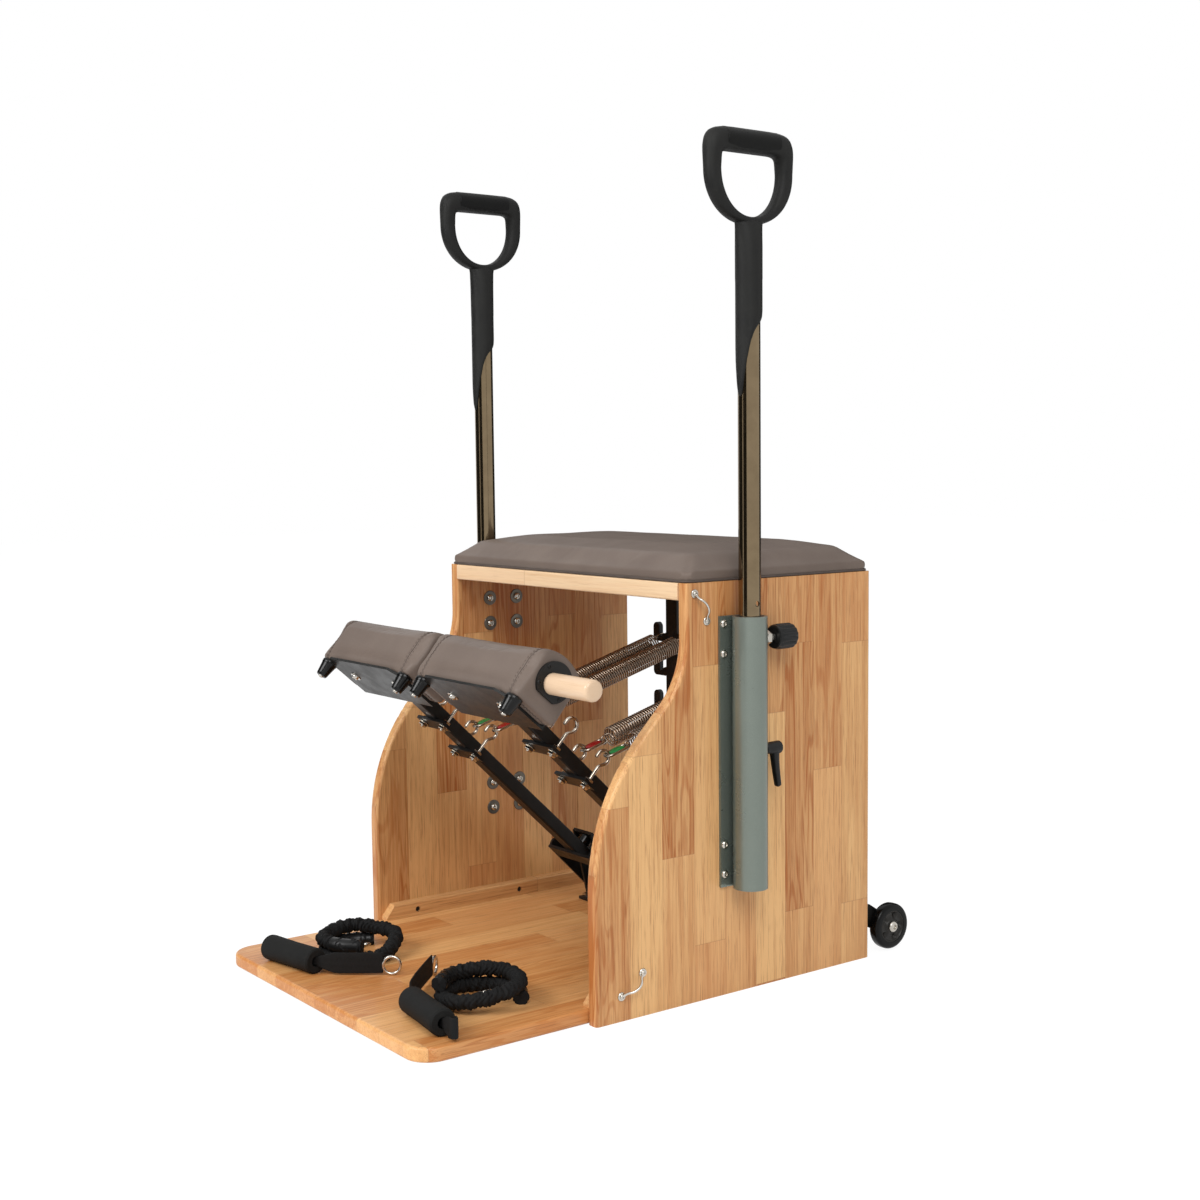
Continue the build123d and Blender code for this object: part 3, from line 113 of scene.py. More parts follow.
def place_camera():
    """The camera at the photograph's place, turned by its yaw, pitch and roll."""
    yaw, pitch, roll = math.radians(53.149), math.radians(5.438), math.radians(-0.638)
    ahead = Vector((-math.sin(yaw) * math.cos(pitch), math.cos(yaw) * math.cos(pitch), -math.sin(pitch)))
    right = Vector((math.cos(yaw), math.sin(yaw), 0))
    up = right.cross(ahead)
    right, up = right * math.cos(roll) + up * math.sin(roll), up * math.cos(roll) - right * math.sin(roll)
    data = bpy.data.cameras.new("photo_camera")
    data.lens, data.sensor_width = 50.57, 36.0
    data.shift_x, data.shift_y = -0.0070, 0.0137
    data.clip_start, data.clip_end = 0.05, 60
    camera = bpy.data.objects.new("photo_camera", data)
    bpy.context.scene.collection.objects.link(camera)
    camera.matrix_world = Matrix(
        (
            (right.x, up.x, -ahead.x, 2.1162),
            (right.y, up.y, -ahead.y, -1.4999),
            (right.z, up.z, -ahead.z, 0.7779),
            (0, 0, 0, 1),
        )
    )
    bpy.context.scene.camera = camera


place_camera()

# ------------------------------------------------------------------ surfaces


def grid_faces(rows, ring, close_rows=False, close_ring=True):
    """The quads of a grid of rows x ring points; either way may run round and close."""
    i, j = np.meshgrid(
        np.arange(rows if close_rows else rows - 1),
        np.arange(ring if close_ring else ring - 1),
        indexing="ij",
    )
    below, beside = (i + 1) % rows, (j + 1) % ring
    return np.stack([i * ring + j, i * ring + beside, below * ring + beside, below * ring + j], -1).reshape(-1, 4)


def shell(points, close_rows=False, caps=True):
    """A shape from rings of points (rows, ring, 3): quads between the rings, and a fan over each open end."""
    rows, ring = points.shape[:2]
    verts = points.reshape(-1, 3)
    faces = grid_faces(rows, ring, close_rows).tolist()
    if caps and not close_rows:
        centres = np.stack([points[0].mean(0), points[-1].mean(0)])
        turn = np.arange(ring)
        beside = (turn + 1) % ring
        last = (rows - 1) * ring
        top = np.full(ring, len(verts))
        faces += np.stack([top, beside, turn], -1).tolist()
        faces += np.stack([top + 1, last + turn, last + beside], -1).tolist()
        verts = np.concatenate([verts, centres])
    return verts, faces


def along_path(path, close=False):
    """Unit tangents of a path, from the differences between its neighbours."""
    if close:
        ahead = np.roll(path, -1, 0) - np.roll(path, 1, 0)
    else:
        ahead = np.gradient(path, axis=0)
    return ahead / np.linalg.norm(ahead, axis=1, keepdims=True)


def carried_frames(path, first, close=False):
    """Tangent, side and up at each point: the side is carried on and kept square to the path."""
    tangent = along_path(path, close)
    side = np.empty_like(path)
    side[0] = np.cross(first, tangent[0])
    side[0] /= np.linalg.norm(side[0])
    for i in range(1, len(path)):
        carried = side[i - 1] - tangent[i] * np.dot(side[i - 1], tangent[i])
        side[i] = carried / np.linalg.norm(carried)
    return tangent, side, np.cross(tangent, side)


def tube(path, half_side, half_up=None, sides=12, first=(0, 0, 1), power=2.0, close=False, rounding=0.0):
    """A section carried along a path.

    The section is side * a * sgn(cos t) |cos t|^(2/p) + up * b * sgn(sin t) |sin t|^(2/p); with a rounding the
    ends shrink like a quarter circle, by sqrt(1 - (1 - s / r)^2) over the last r of the path.
    """
    path = np.asarray(path, float)
    a = np.broadcast_to(half_side, len(path))
    b = a if half_up is None else np.broadcast_to(half_up, len(path))
    shrink = np.ones(len(path))
    if rounding:
        path, shrink, a, b = eased_ends(path, rounding, a, b)
    tangent, side, up = carried_frames(path, np.asarray(first, float), close)
    turn = np.arange(sides) * 2 * math.pi / sides
    curve = np.broadcast_to(power, len(path))[:, None]
    across = np.sign(np.cos(turn)) * np.abs(np.cos(turn)) ** (2 / curve)
    over = np.sign(np.sin(turn)) * np.abs(np.sin(turn)) ** (2 / curve)
    rings = (
        path[:, None]
        + side[:, None] * (a * shrink)[:, None, None] * across[..., None]
        + up[:, None] * (b * shrink)[:, None, None] * over[..., None]
    )
    return shell(rings, close)


def eased_ends(path, reach, a, b, steps=5):
    """A path with more stations near its ends, the share of its width at each, and its half widths there."""
    length = np.concatenate([[0], np.cumsum(np.linalg.norm(np.diff(path, axis=0), axis=1))])
    total = length[-1]
    ease = reach * (1 - np.cos(np.linspace(0.12, 0.5, steps) * math.pi))
    middle = length[(length > reach * 1.05) & (length < total - reach * 1.05)]
    stations = np.concatenate([[0], ease, middle, (total - ease)[::-1], [total]])
    moved = np.stack([np.interp(stations, length, path[:, k]) for k in range(3)], -1)
    near = np.clip(np.minimum(stations, total - stations) / reach, 0.004, 1)
    widths = (np.interp(stations, length, width) for width in (a, b))
    return moved, np.sqrt(1 - (1 - near) ** 2), *widths


def turned(profile, centre, axis, sides=32, six=None, lobes=0, depth=0.0, ring=False):
    """A profile of (along, radius) pairs carried round an axis.

    Where six is 1 the ring is a hexagon, r / cos(((t + 30) mod 60) - 30), where it is 0 a circle. Lobes scale
    the radius by 1 - depth * (0.5 + 0.5 cos(n t)) ^ 2. A ring profile closes on itself.
    """
    profile = np.asarray(profile, float)
    axis = np.asarray(axis, float) / np.linalg.norm(axis)
    helper = np.array((0, 0, 1.0)) if abs(axis[2]) < 0.9 else np.array((0, 1.0, 0))
    side = np.cross(helper, axis)
    side /= np.linalg.norm(side)
    up = np.cross(axis, side)
    turn = np.arange(sides) * 2 * math.pi / sides
    scale = np.ones((len(profile), sides))
    if six is not None:
        third = math.pi / 3
        hexagon = 1 / np.cos((turn + third / 2) % third - third / 2)
        scale = 1 + np.asarray(six, float)[:, None] * (hexagon - 1)
    if lobes:
        flute = 1 - np.broadcast_to(depth, len(profile))[:, None] * (0.5 + 0.5 * np.cos(lobes * turn)) ** 2
        scale = scale * flute
    radius = profile[:, 1][:, None] * scale
    rings = (
        np.asarray(centre, float)
        + profile[:, 0][:, None, None] * axis
        + radius[..., None] * (np.cos(turn)[:, None] * side + np.sin(turn)[:, None] * up)
    )
    return shell(rings, close_rows=ring)


def bent_line(moves, start=(0.0, 0.0), heading=90.0, step=8.0):
    """A flat line of straight runs and arcs: (length,) is a run, (radius, angle) an arc, left if positive."""
    points, here, way = [np.array([start], float)], np.array(start, float), math.radians(heading)
    for move in moves:
        if len(move) == 1:
            stretch = np.linspace(0, move[0], 4)[1:, None] * np.array([math.cos(way), math.sin(way)])
            points.append(here + stretch)
            here = points[-1][-1]
            continue
        radius, angle = move[0], math.radians(move[1])
        left = np.sign(angle)
        count = max(3, int(abs(move[1]) / step))
        turn = np.linspace(0, angle, count + 1)[1:]
        centre = here + radius * left * np.array([-math.sin(way), math.cos(way)])
        facing = way + turn
        points.append(centre + radius * left * np.stack([np.sin(facing), -np.cos(facing)], -1))
        here, way = points[-1][-1], way + angle
    return np.concatenate(points)


def spline_points(points, steps=12, order=3):
    """Points read from an open spline that starts and ends at the first and last of the given points."""
    curve = make_spline("route", points, order, steps)
    mesh = bpy.data.meshes.new_from_object(curve)
    found = np.empty(len(mesh.vertices) * 3)
    mesh.vertices.foreach_get("co", found)
    bpy.data.meshes.remove(mesh)
    bpy.data.objects.remove(curve)
    return found.reshape(-1, 3)


def smoothly(value, low, high):
    """0 below low, 1 above high, and a smooth step between."""
    share = np.clip((value - low) / (high - low), 0, 1)
    return share * share * (3 - 2 * share)


def make_spline(name, points, order=3, steps=12):
    """A curve object of one open spline over the given control points."""
    data = bpy.data.curves.new(name, "CURVE")
    data.dimensions = "3D"
    data.resolution_u = steps
    spline = data.splines.new("NURBS")
    spline.points.add(len(points) - 1)
    spline.points.foreach_set("co", np.c_[np.asarray(points, float), np.ones(len(points))].ravel())
    spline.order_u = order
    spline.use_endpoint_u = True
    curve = bpy.data.objects.new(name, data)
    bpy.context.scene.collection.objects.link(curve)
    return curve


def evenly(path, step):
    """A path with its points a given step apart."""
    length = np.concatenate([[0], np.cumsum(np.linalg.norm(np.diff(path, axis=0), axis=1))])
    stations = np.linspace(0, length[-1], max(3, int(length[-1] / step)))
    return np.stack([np.interp(stations, length, path[:, k]) for k in range(3)], -1), stations


def make_mesh(name, shapes, uv=None):
    """One mesh from several shapes, with its faces turned outwards and its sharp edges kept."""
    verts, faces, start = [], [], 0
    for shape_verts, shape_faces in shapes:
        verts.append(shape_verts)
        faces += [[k + start for k in face] for face in shape_faces]
        start += len(shape_verts)
    mesh = bpy.data.meshes.new(name)
    mesh.from_pydata(np.concatenate(verts).tolist(), [], faces)
    if uv is not None:
        layer = mesh.uv_layers.new(name="surface")
        corner = np.empty(len(mesh.loops), int)
        mesh.loops.foreach_get("vertex_index", corner)
        values = uv[np.minimum(corner, len(uv) - 1)]
        start = np.empty(len(mesh.polygons), int)
        count = np.empty(len(mesh.polygons), int)
        mesh.polygons.foreach_get("loop_start", start)
        mesh.polygons.foreach_get("loop_total", count)
        face = np.repeat(np.arange(len(start)), count)
        highest = np.zeros(len(start))
        np.maximum.at(highest, face, values[:, 1])
        values[:, 1] += (highest[face] - values[:, 1] > 0.5).astype(float)
        layer.data.foreach_set("uv", values.astype(np.float32).ravel())
    work = bmesh.new()
    work.from_mesh(mesh)
    bmesh.ops.recalc_face_normals(work, faces=work.faces)
    work.to_mesh(mesh)
    work.free()
    return mesh


def piece(name, shapes, material, body, replaced=(), sharp=32.0, uv=None):
    """A finished piece: it rides on a body, stands for the given nodes and takes the slot's finish."""
    mesh = make_mesh(name, shapes, uv)
    mesh.shade_smooth()
    mesh.set_sharp_from_angle(angle=math.radians(sharp))
    mesh.materials.append(material)
    made = bpy.data.objects.new(name, mesh)
    bpy.context.scene.collection.objects.link(made)
    if body:
        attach(made, body)
    if replaced:
        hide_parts(*replaced)
    return made


# ------------------------------------------------------------------ materials


def add(tree, kind, inputs=None, **settings):
    """A node in a tree, with its settings and its input values or links."""
    node = tree.nodes.new(kind)
    for key, value in settings.items():
        setattr(node, key, value)
    for key, value in (inputs or {}).items():
        if isinstance(value, bpy.types.NodeSocket):
            tree.links.new(value, node.inputs[key])
        else:
            node.inputs[key].default_value = value
    return node


def maths(tree, operation, first, second=0.0, clamp=False):
    """One sum of two values, as the socket that holds the answer."""
    return add(tree, "ShaderNodeMath", {0: first, 1: second}, operation=operation, use_clamp=clamp).outputs[0]


def blended(tree, share, first, second):
    """Two colours mixed by a share, as a socket."""
    node = tree.nodes.new("ShaderNodeMix")
    node.data_type = "RGBA"
    for index, value in ((0, share), (6, first), (7, second)):
        if isinstance(value, bpy.types.NodeSocket):
            tree.links.new(value, node.inputs[index])
        else:
            node.inputs[index].default_value = value if index == 0 else (*value, 1.0)
    return node.outputs[2]


def ranged(tree, value, low, high, out_low=0.0, out_high=1.0, smooth=True):
    """A value carried from one range to another."""
    node = add(
        tree,
        "ShaderNodeMapRange",
        {0: value, 1: low, 2: high, 3: out_low, 4: out_high},
        interpolation_type="SMOOTHSTEP" if smooth else "LINEAR",
    )
    return node.outputs[0]


def new_group(name, inputs, outputs):
    """A node group with named inputs and outputs, and its two end nodes."""
    group = bpy.data.node_groups.new(name, "ShaderNodeTree")
    for label, kind, value in inputs:
        socket = group.interface.new_socket(label, in_out="INPUT", socket_type=kind)
        if value is not None:
            socket.default_value = value
    for label, kind in outputs:
        group.interface.new_socket(label, in_out="OUTPUT", socket_type=kind)
    start, end = group.nodes.new("NodeGroupInput"), group.nodes.new("NodeGroupOutput")
    return group, start.outputs, end.inputs


FLOAT, VECTOR, COLOUR = "NodeSocketFloat", "NodeSocketVector", "NodeSocketColor"


def timber_group():
    """Glued staves: strips of a width, cut to lengths at shifted joints, each with its own tone and grain."""
    group, got, out = new_group(
        "timber_staves",
        [
            ("Along", FLOAT, 0.0),
            ("Across", FLOAT, 0.0),
            ("Through", FLOAT, 0.0),
            ("Stave Width", FLOAT, 0.052),
            ("Stave Length", FLOAT, 0.36),
            ("Seed", FLOAT, 1.0),
            ("Light Wood", COLOUR, (0.66, 0.42, 0.22, 1)),
            ("Dark Wood", COLOUR, (0.44, 0.20, 0.07, 1)),
            ("Pores", FLOAT, 0.45),
        ],
        [("Color", COLOUR), ("Figure", FLOAT), ("Height", FLOAT)],
    )
    tree = group
    strip_place = maths(tree, "DIVIDE", got["Across"], got["Stave Width"])
    strip = maths(tree, "FLOOR", strip_place)
    strip_seed = maths(tree, "ADD", strip, got["Seed"])
    shift = add(tree, "ShaderNodeTexWhiteNoise", {"W": strip_seed}, noise_dimensions="1D").outputs["Value"]
    length_place = maths(
        tree, "ADD", maths(tree, "DIVIDE", got["Along"], got["Stave Length"]), maths(tree, "MULTIPLY", shift, 7.3)
    )
    stave = maths(tree, "FLOOR", length_place)
    stave_id = add(tree, "ShaderNodeCombineXYZ", {0: strip_seed, 1: stave, 2: got["Seed"]}).outputs[0]
    luck = add(tree, "ShaderNodeTexWhiteNoise", {"Vector": stave_id}, noise_dimensions="3D")
    tone = luck.outputs["Value"]
    spread = add(tree, "ShaderNodeSeparateColor", {0: luck.outputs["Color"]}).outputs
    moved = maths(tree, "MULTIPLY", tone, 31.0)

    def grain(along, across, detail, rough, bend):
        """Noise drawn out along the grain, moved to a new place in each stave."""
        place = add(
            tree,
            "ShaderNodeCombineXYZ",
            {
                0: maths(tree, "ADD", maths(tree, "MULTIPLY", got["Along"], along), moved),
                1: maths(tree, "ADD", maths(tree, "MULTIPLY", got["Across"], across), moved),
                2: maths(tree, "MULTIPLY", got["Through"], across),
            },
        ).outputs[0]
        return add(
            tree,
            "ShaderNodeTexNoise",
            {"Vector": place, "Scale": 1.0, "Detail": detail, "Roughness": rough, "Distortion": bend},
        ).outputs[0]

    broad = grain(2.2, 26.0, 2.0, 0.5, 0.6)
    streak = grain(5.0, 200.0, 5.0, 0.66, 0.2)
    pore = grain(20.0, 900.0, 2.0, 0.55, 0.0)
    pores = ranged(tree, pore, 0.55, 0.66)
    rings = maths(tree, "SINE", maths(tree, "MULTIPLY", broad, 62.0))
    rings = maths(tree, "MULTIPLY", ranged(tree, rings, 0.15, 1.0), ranged(tree, spread[0], 0.35, 0.75))
    figure = maths(
        tree,
        "ADD",
        maths(tree, "MULTIPLY", ranged(tree, broad, 0.30, 0.70), 0.45),
        maths(tree, "MULTIPLY", ranged(tree, streak, 0.36, 0.66), 0.55),
    )
    share = maths(
        tree,
        "ADD",
        maths(tree, "MULTIPLY", figure, 0.62),
        maths(tree, "MULTIPLY", tone, 0.82),
        clamp=False,
    )
    share = maths(tree, "ADD", share, maths(tree, "MULTIPLY", rings, 0.34))
    share = maths(tree, "SUBTRACT", share, 0.30, clamp=True)
    plain = blended(tree, share, got["Light Wood"], got["Dark Wood"])
    reddish = blended(tree, maths(tree, "MULTIPLY", spread[1], 0.30), plain, (0.56, 0.215, 0.075))
    pored = blended(tree, maths(tree, "MULTIPLY", pores, got["Pores"]), reddish, (0.25, 0.085, 0.022))
    edge = maths(tree, "ABSOLUTE", maths(tree, "SUBTRACT", maths(tree, "FRACT", strip_place), 0.5))
    joint = ranged(tree, edge, 0.485, 0.499)
    end_edge = maths(tree, "ABSOLUTE", maths(tree, "SUBTRACT", maths(tree, "FRACT", length_place), 0.5))
    end_joint = ranged(tree, end_edge, 0.4975, 0.4995)
    line = maths(tree, "MAXIMUM", joint, end_joint)
    final = blended(tree, maths(tree, "MULTIPLY", line, 0.30), pored, (0.28, 0.12, 0.045))
    tree.links.new(final, out["Color"])
    tree.links.new(figure, out["Figure"])
    tree.links.new(maths(tree, "SUBTRACT", figure, maths(tree, "ADD", pores, line)), out["Height"])
    return group


def leather_group():
    """Pebbled skin: small round cells over soft folds, and slow changes of tone."""
    group, got, out = new_group(
        "leather_grain",
        [("Vector", VECTOR, None), ("Cells", FLOAT, 900.0)],
        [("Tone", FLOAT), ("Height", FLOAT)],
    )
    cells = add(
        group,
        "ShaderNodeTexVoronoi",
        {"Vector": got["Vector"], "Scale": got["Cells"]},
        feature="SMOOTH_F1",
    ).outputs["Distance"]
    folds = add(group, "ShaderNodeTexNoise", {"Vector": got["Vector"], "Scale": 95.0, "Detail": 3.0}).outputs[0]
    slow = add(group, "ShaderNodeTexNoise", {"Vector": got["Vector"], "Scale": 11.0, "Detail": 2.0}).outputs[0]
    height = maths(group, "ADD", maths(group, "MULTIPLY", cells, -0.8), maths(group, "MULTIPLY", folds, 0.9))
    group.links.new(height, out["Height"])
    tone = maths(
        group,
        "ADD",
        maths(group, "MULTIPLY", ranged(group, slow, 0.3, 0.7), 0.7),
        maths(group, "MULTIPLY", ranged(group, cells, 0.0, 0.7), 0.3),
    )
    group.links.new(tone, out["Tone"])
    return group


def skin_group():
    """The skin of a coating or a moulding: a fine peel, sparse specks, smudges and slow changes."""
    group, got, out = new_group(
        "surface_skin",
        [("Vector", VECTOR, None), ("Peel", FLOAT, 1800.0), ("Smudge", FLOAT, 28.0)],
        [("Tone", FLOAT), ("Specks", FLOAT), ("Height", FLOAT)],
    )
    peel = add(
        group, "ShaderNodeTexNoise", {"Vector": got["Vector"], "Scale": got["Peel"], "Detail": 2.0}
    ).outputs[0]
    smudge = add(
        group,
        "ShaderNodeTexNoise",
        {"Vector": got["Vector"], "Scale": got["Smudge"], "Detail": 5.0, "Roughness": 0.62},
    ).outputs[0]
    group.links.new(peel, out["Height"])
    group.links.new(ranged(group, smudge, 0.32, 0.68), out["Tone"])
    group.links.new(ranged(group, peel, 0.56, 0.68), out["Specks"])
    return group


def weave_group():
    """A plain weave from two sets of waves on the piece's own map: u runs along it, v round it, in threads."""
    group, got, out = new_group(
        "thread_weave",
        [("Vector", VECTOR, None), ("Along Threads", FLOAT, 900.0), ("Round Threads", FLOAT, 24.0)],
        [("Tone", FLOAT), ("Height", FLOAT)],
    )
    place = add(group, "ShaderNodeSeparateXYZ", {0: got["Vector"]}).outputs
    along = maths(group, "SINE", maths(group, "MULTIPLY", place[0], got["Along Threads"]))
    around = maths(
        group, "SINE", maths(group, "MULTIPLY", maths(group, "MULTIPLY", place[1], 6.2832), got["Round Threads"])
    )
    weave = maths(group, "MULTIPLY", along, around)
    group.links.new(weave, out["Height"])
    group.links.new(ranged(group, weave, -1.0, 1.0), out["Tone"])
    return group


TIMBER, LEATHER, SKIN, WEAVE = timber_group(), leather_group(), skin_group(), weave_group()


def place_group(tree, group, inputs):
    """A shader node group placed in a material, with its own values."""
    node = tree.nodes.new("ShaderNodeGroup")
    node.node_tree = group
    for key, value in inputs.items():
        if isinstance(value, bpy.types.NodeSocket):
            tree.links.new(value, node.inputs[key])
        else:
            node.inputs[key].default_value = value if np.ndim(value) == 0 else (*value, 1.0)
    return node.outputs


def start_material(name, **shader_values):
    """A material with one principled shader, its fixed values set on the shader's own sockets."""
    material = bpy.data.materials.new(name)
    material.use_nodes = True
    tree = material.node_tree
    shader = tree.nodes["Principled BSDF"]
    for key, value in shader_values.items():
        shader.inputs[key.replace("_", " ")].default_value = value
    place = tree.nodes.new("ShaderNodeTexCoord").outputs["Object"]
    return material, tree, shader, place


def finish_material(tree, shader, colour, roughness, height, bump, depth=0.001):
    """Colour, roughness and bump joined to the shader."""
    for key, value in (("Base Color", colour), ("Roughness", roughness)):
        if isinstance(value, bpy.types.NodeSocket):
            tree.links.new(value, shader.inputs[key])
        else:
            shader.inputs[key].default_value = value if np.ndim(value) == 0 else (*value, 1.0)
    node = add(tree, "ShaderNodeBump", {"Strength": bump, "Distance": depth, "Height": height})
    tree.links.new(node.outputs[0], shader.inputs["Normal"])


def timber_material(name, along, across, through, width, length, seed, light, dark, gloss=0.34, pores=0.45):
    """Lacquered timber whose staves lie along one axis of the chair."""
    material, tree, shader, place = start_material(name, Specular_IOR_Level=0.30, Coat_Weight=0.10, Coat_Roughness=0.12)
    axes = add(tree, "ShaderNodeSeparateXYZ", {0: place}).outputs
    wood = place_group(
        tree,
        TIMBER,
        {
            "Along": axes[along],
            "Across": axes[across],
            "Through": axes[through],
            "Stave Width": width,
            "Stave Length": length,
            "Seed": seed,
            "Light Wood": light,
            "Dark Wood": dark,
            "Pores": pores,
        },
    )
    roughness = ranged(tree, wood["Figure"], 0.0, 1.0, gloss, gloss + 0.14, smooth=False)
    finish_material(tree, shader, wood["Color"], roughness, wood["Height"], 0.10, 0.0006)
    return material


def leather_material(name, light, dark):
    """Soft leather with a pebbled grain."""
    material, tree, shader, place = start_material(name, Specular_IOR_Level=0.20)
    skin = place_group(tree, LEATHER, {"Vector": place, "Cells": 850.0})
    colour = blended(tree, skin["Tone"], light, dark)
    roughness = ranged(tree, skin["Tone"], 0.0, 1.0, 0.40, 0.54, smooth=False)
    finish_material(tree, shader, colour, roughness, skin["Height"], 0.20, 0.0005)
    return material


def skin_material(name, colour, second, rough, peel, bump, metal=0.0, specks=None, smudge=28.0, shine=0.25, **values):
    """A coated, moulded or polished surface: two near colours, a fine peel and smudged gloss."""
    material, tree, shader, place = start_material(name, Metallic=metal, Specular_IOR_Level=shine, **values)
    skin = place_group(tree, SKIN, {"Vector": place, "Peel": peel, "Smudge": smudge})
    shade = blended(tree, skin["Tone"], colour, second)
    if specks:
        shade = blended(tree, maths(tree, "MULTIPLY", skin["Specks"], 0.6), shade, specks)
    roughness = ranged(tree, skin["Tone"], 0.0, 1.0, rough[0], rough[1], smooth=False)
    finish_material(tree, shader, shade, roughness, skin["Height"], bump, 0.0004)
    return material


def woven_material(name, colour, second, along, around, bump):
    """Threads that follow the piece's own map."""
    material, tree, shader, place = start_material(name, Specular_IOR_Level=0.15)
    own_map = tree.nodes.new("ShaderNodeUVMap")
    own_map.uv_map = "surface"
    threads = place_group(
        tree, WEAVE, {"Vector": own_map.outputs[0], "Along Threads": along, "Round Threads": around}
    )
    slow = place_group(tree, SKIN, {"Vector": place, "Peel": 1200.0, "Smudge": 60.0})
    shade = blended(tree, threads["Tone"], colour, second)
    shade = blended(tree, maths(tree, "MULTIPLY", slow["Tone"], 0.35), shade, (0.010, 0.010, 0.0105))
    roughness = ranged(tree, threads["Tone"], 0.0, 1.0, 0.62, 0.84, smooth=False)
    finish_material(tree, shader, shade, roughness, threads["Height"], bump, 0.0005)
    return material


LIGHT_WOOD, DARK_WOOD = (0.77, 0.460, 0.198), (0.39, 0.126, 0.028)
panel_wood = timber_material("rubberwood_upright", 2, 1, 0, 0.058, 0.40, 3.0, LIGHT_WOOD, DARK_WOOD)
base_wood = timber_material("rubberwood_base", 1, 0, 2, 0.062, 0.42, 11.0, (0.80, 0.455, 0.185), (0.52, 0.205, 0.055))
seat_wood = timber_material("rubberwood_seat", 0, 2, 1, 0.050, 0.60, 5.0, (0.76, 0.55, 0.345), (0.62, 0.36, 0.17), pores=0.16)
cleat_wood = timber_material("rubberwood_cleat", 1, 2, 0, 0.060, 0.55, 8.0, LIGHT_WOOD, DARK_WOOD)
dowel_wood = timber_material(
    "dowel_beech", 0, 2, 1, 0.20, 1.40, 2.0, (0.68, 0.505, 0.345), (0.63, 0.425, 0.26), gloss=0.16, pores=0.08
)
seat_leather = leather_material("taupe_leather", (0.158, 0.121, 0.100), (0.130, 0.099, 0.082))
thread = skin_material("seam_thread", (0.125, 0.094, 0.078), (0.10, 0.075, 0.062), (0.5, 0.7), 2200, 0.1)
# A darker copy of the leather colour for thin tubes in the seams: painted shade in the seam creases.
seam_shadow = skin_material("seam_painted_shade", (0.085, 0.066, 0.056), (0.07, 0.055, 0.047), (0.6, 0.75), 900, 0.05)
black_steel = skin_material(
    "black_powder_coat", (0.0065, 0.0062, 0.006), (0.010, 0.0095, 0.009), (0.32, 0.46), 2600, 0.18
)
plate_steel = skin_material(
    "grey_plate_coat", (0.012, 0.012, 0.0112), (0.018, 0.017, 0.016), (0.30, 0.42), 2600, 0.10, shine=0.16
)
sleeve_paint = skin_material(
    "green_grey_hammer_coat",
    (0.180, 0.208, 0.182),
    (0.194, 0.222, 0.194),
    (0.26, 0.31),
    1700,
    0.16,
    metal=0.60,
    specks=(0.27, 0.30, 0.27),
    smudge=9.0,
)
bright_steel = skin_material(
    "bright_fasteners", (0.60, 0.57, 0.52), (0.48, 0.45, 0.40), (0.12, 0.26), 700, 0.03, metal=1.0
)
washer_steel = skin_material(
    "washer_steel", (0.17, 0.155, 0.13), (0.12, 0.11, 0.095), (0.28, 0.42), 700, 0.05, metal=1.0
)
pole_chrome = skin_material(
    "smoked_chrome", (0.235, 0.175, 0.105), (0.20, 0.148, 0.088), (0.06, 0.13), 500, 0.015, metal=1.0
)
spring_steel = skin_material(
    "spring_steel", (0.38, 0.30, 0.235), (0.28, 0.22, 0.17), (0.20, 0.30), 900, 0.04, metal=1.0
)
wire_steel = skin_material(
    "hook_steel", (0.52, 0.46, 0.39), (0.38, 0.33, 0.27), (0.14, 0.28), 900, 0.03, metal=1.0
)
grip_plastic = skin_material(
    "textured_grip", (0.008, 0.008, 0.0077), (0.013, 0.013, 0.012), (0.44, 0.58), 2400, 0.5, shine=0.18
)
bar_rubber = skin_material("bar_rubber", (0.002, 0.002, 0.0018), (0.004, 0.004, 0.0036), (0.40, 0.52), 2400, 0.3, shine=0.15)
knob_plastic = skin_material("knob_plastic", (0.006, 0.006, 0.006), (0.010, 0.010, 0.010), (0.30, 0.46), 1500, 0.15)
bush_plastic = skin_material("bush_plastic", (0.02, 0.02, 0.02), (0.03, 0.03, 0.03), (0.45, 0.6), 1500, 0.1)
stop_rubber = skin_material("stop_rubber", (0.003, 0.003, 0.003), (0.005, 0.005, 0.005), (0.18, 0.28), 900, 0.02)
tyre_rubber = skin_material("wheel_tyre", (0.0015, 0.0015, 0.0015), (0.003, 0.003, 0.003), (0.12, 0.22), 900, 0.02, shine=0.16)
hub_plastic = skin_material("wheel_hub", (0.010, 0.009, 0.008), (0.016, 0.014, 0.012), (0.24, 0.4), 1500, 0.08)
grip_foam = skin_material(
    "grip_foam", (0.0075, 0.0075, 0.0072), (0.012, 0.012, 0.0115), (0.70, 0.85), 1300, 0.6, shine=0.16
)
green_plastic = skin_material("green_insert", (0.02, 0.30, 0.07), (0.015, 0.23, 0.05), (0.2, 0.35), 900, 0.05)
red_plastic = skin_material("red_insert", (0.42, 0.012, 0.012), (0.30, 0.008, 0.008), (0.2, 0.35), 900, 0.05)
cuff_vinyl = skin_material("cord_cuff", (0.005, 0.005, 0.005), (0.009, 0.009, 0.009), (0.26, 0.44), 1100, 0.12)
webbing = woven_material("webbing", (0.005, 0.005, 0.005), (0.013, 0.013, 0.013), 3600.0, 11.0, 0.5)
cord_cloth = woven_material("ruched_cord_cloth", (0.004, 0.004, 0.004), (0.012, 0.012, 0.012), 5200.0, 30.0, 0.35)

# ------------------------------------------------------------------ cords

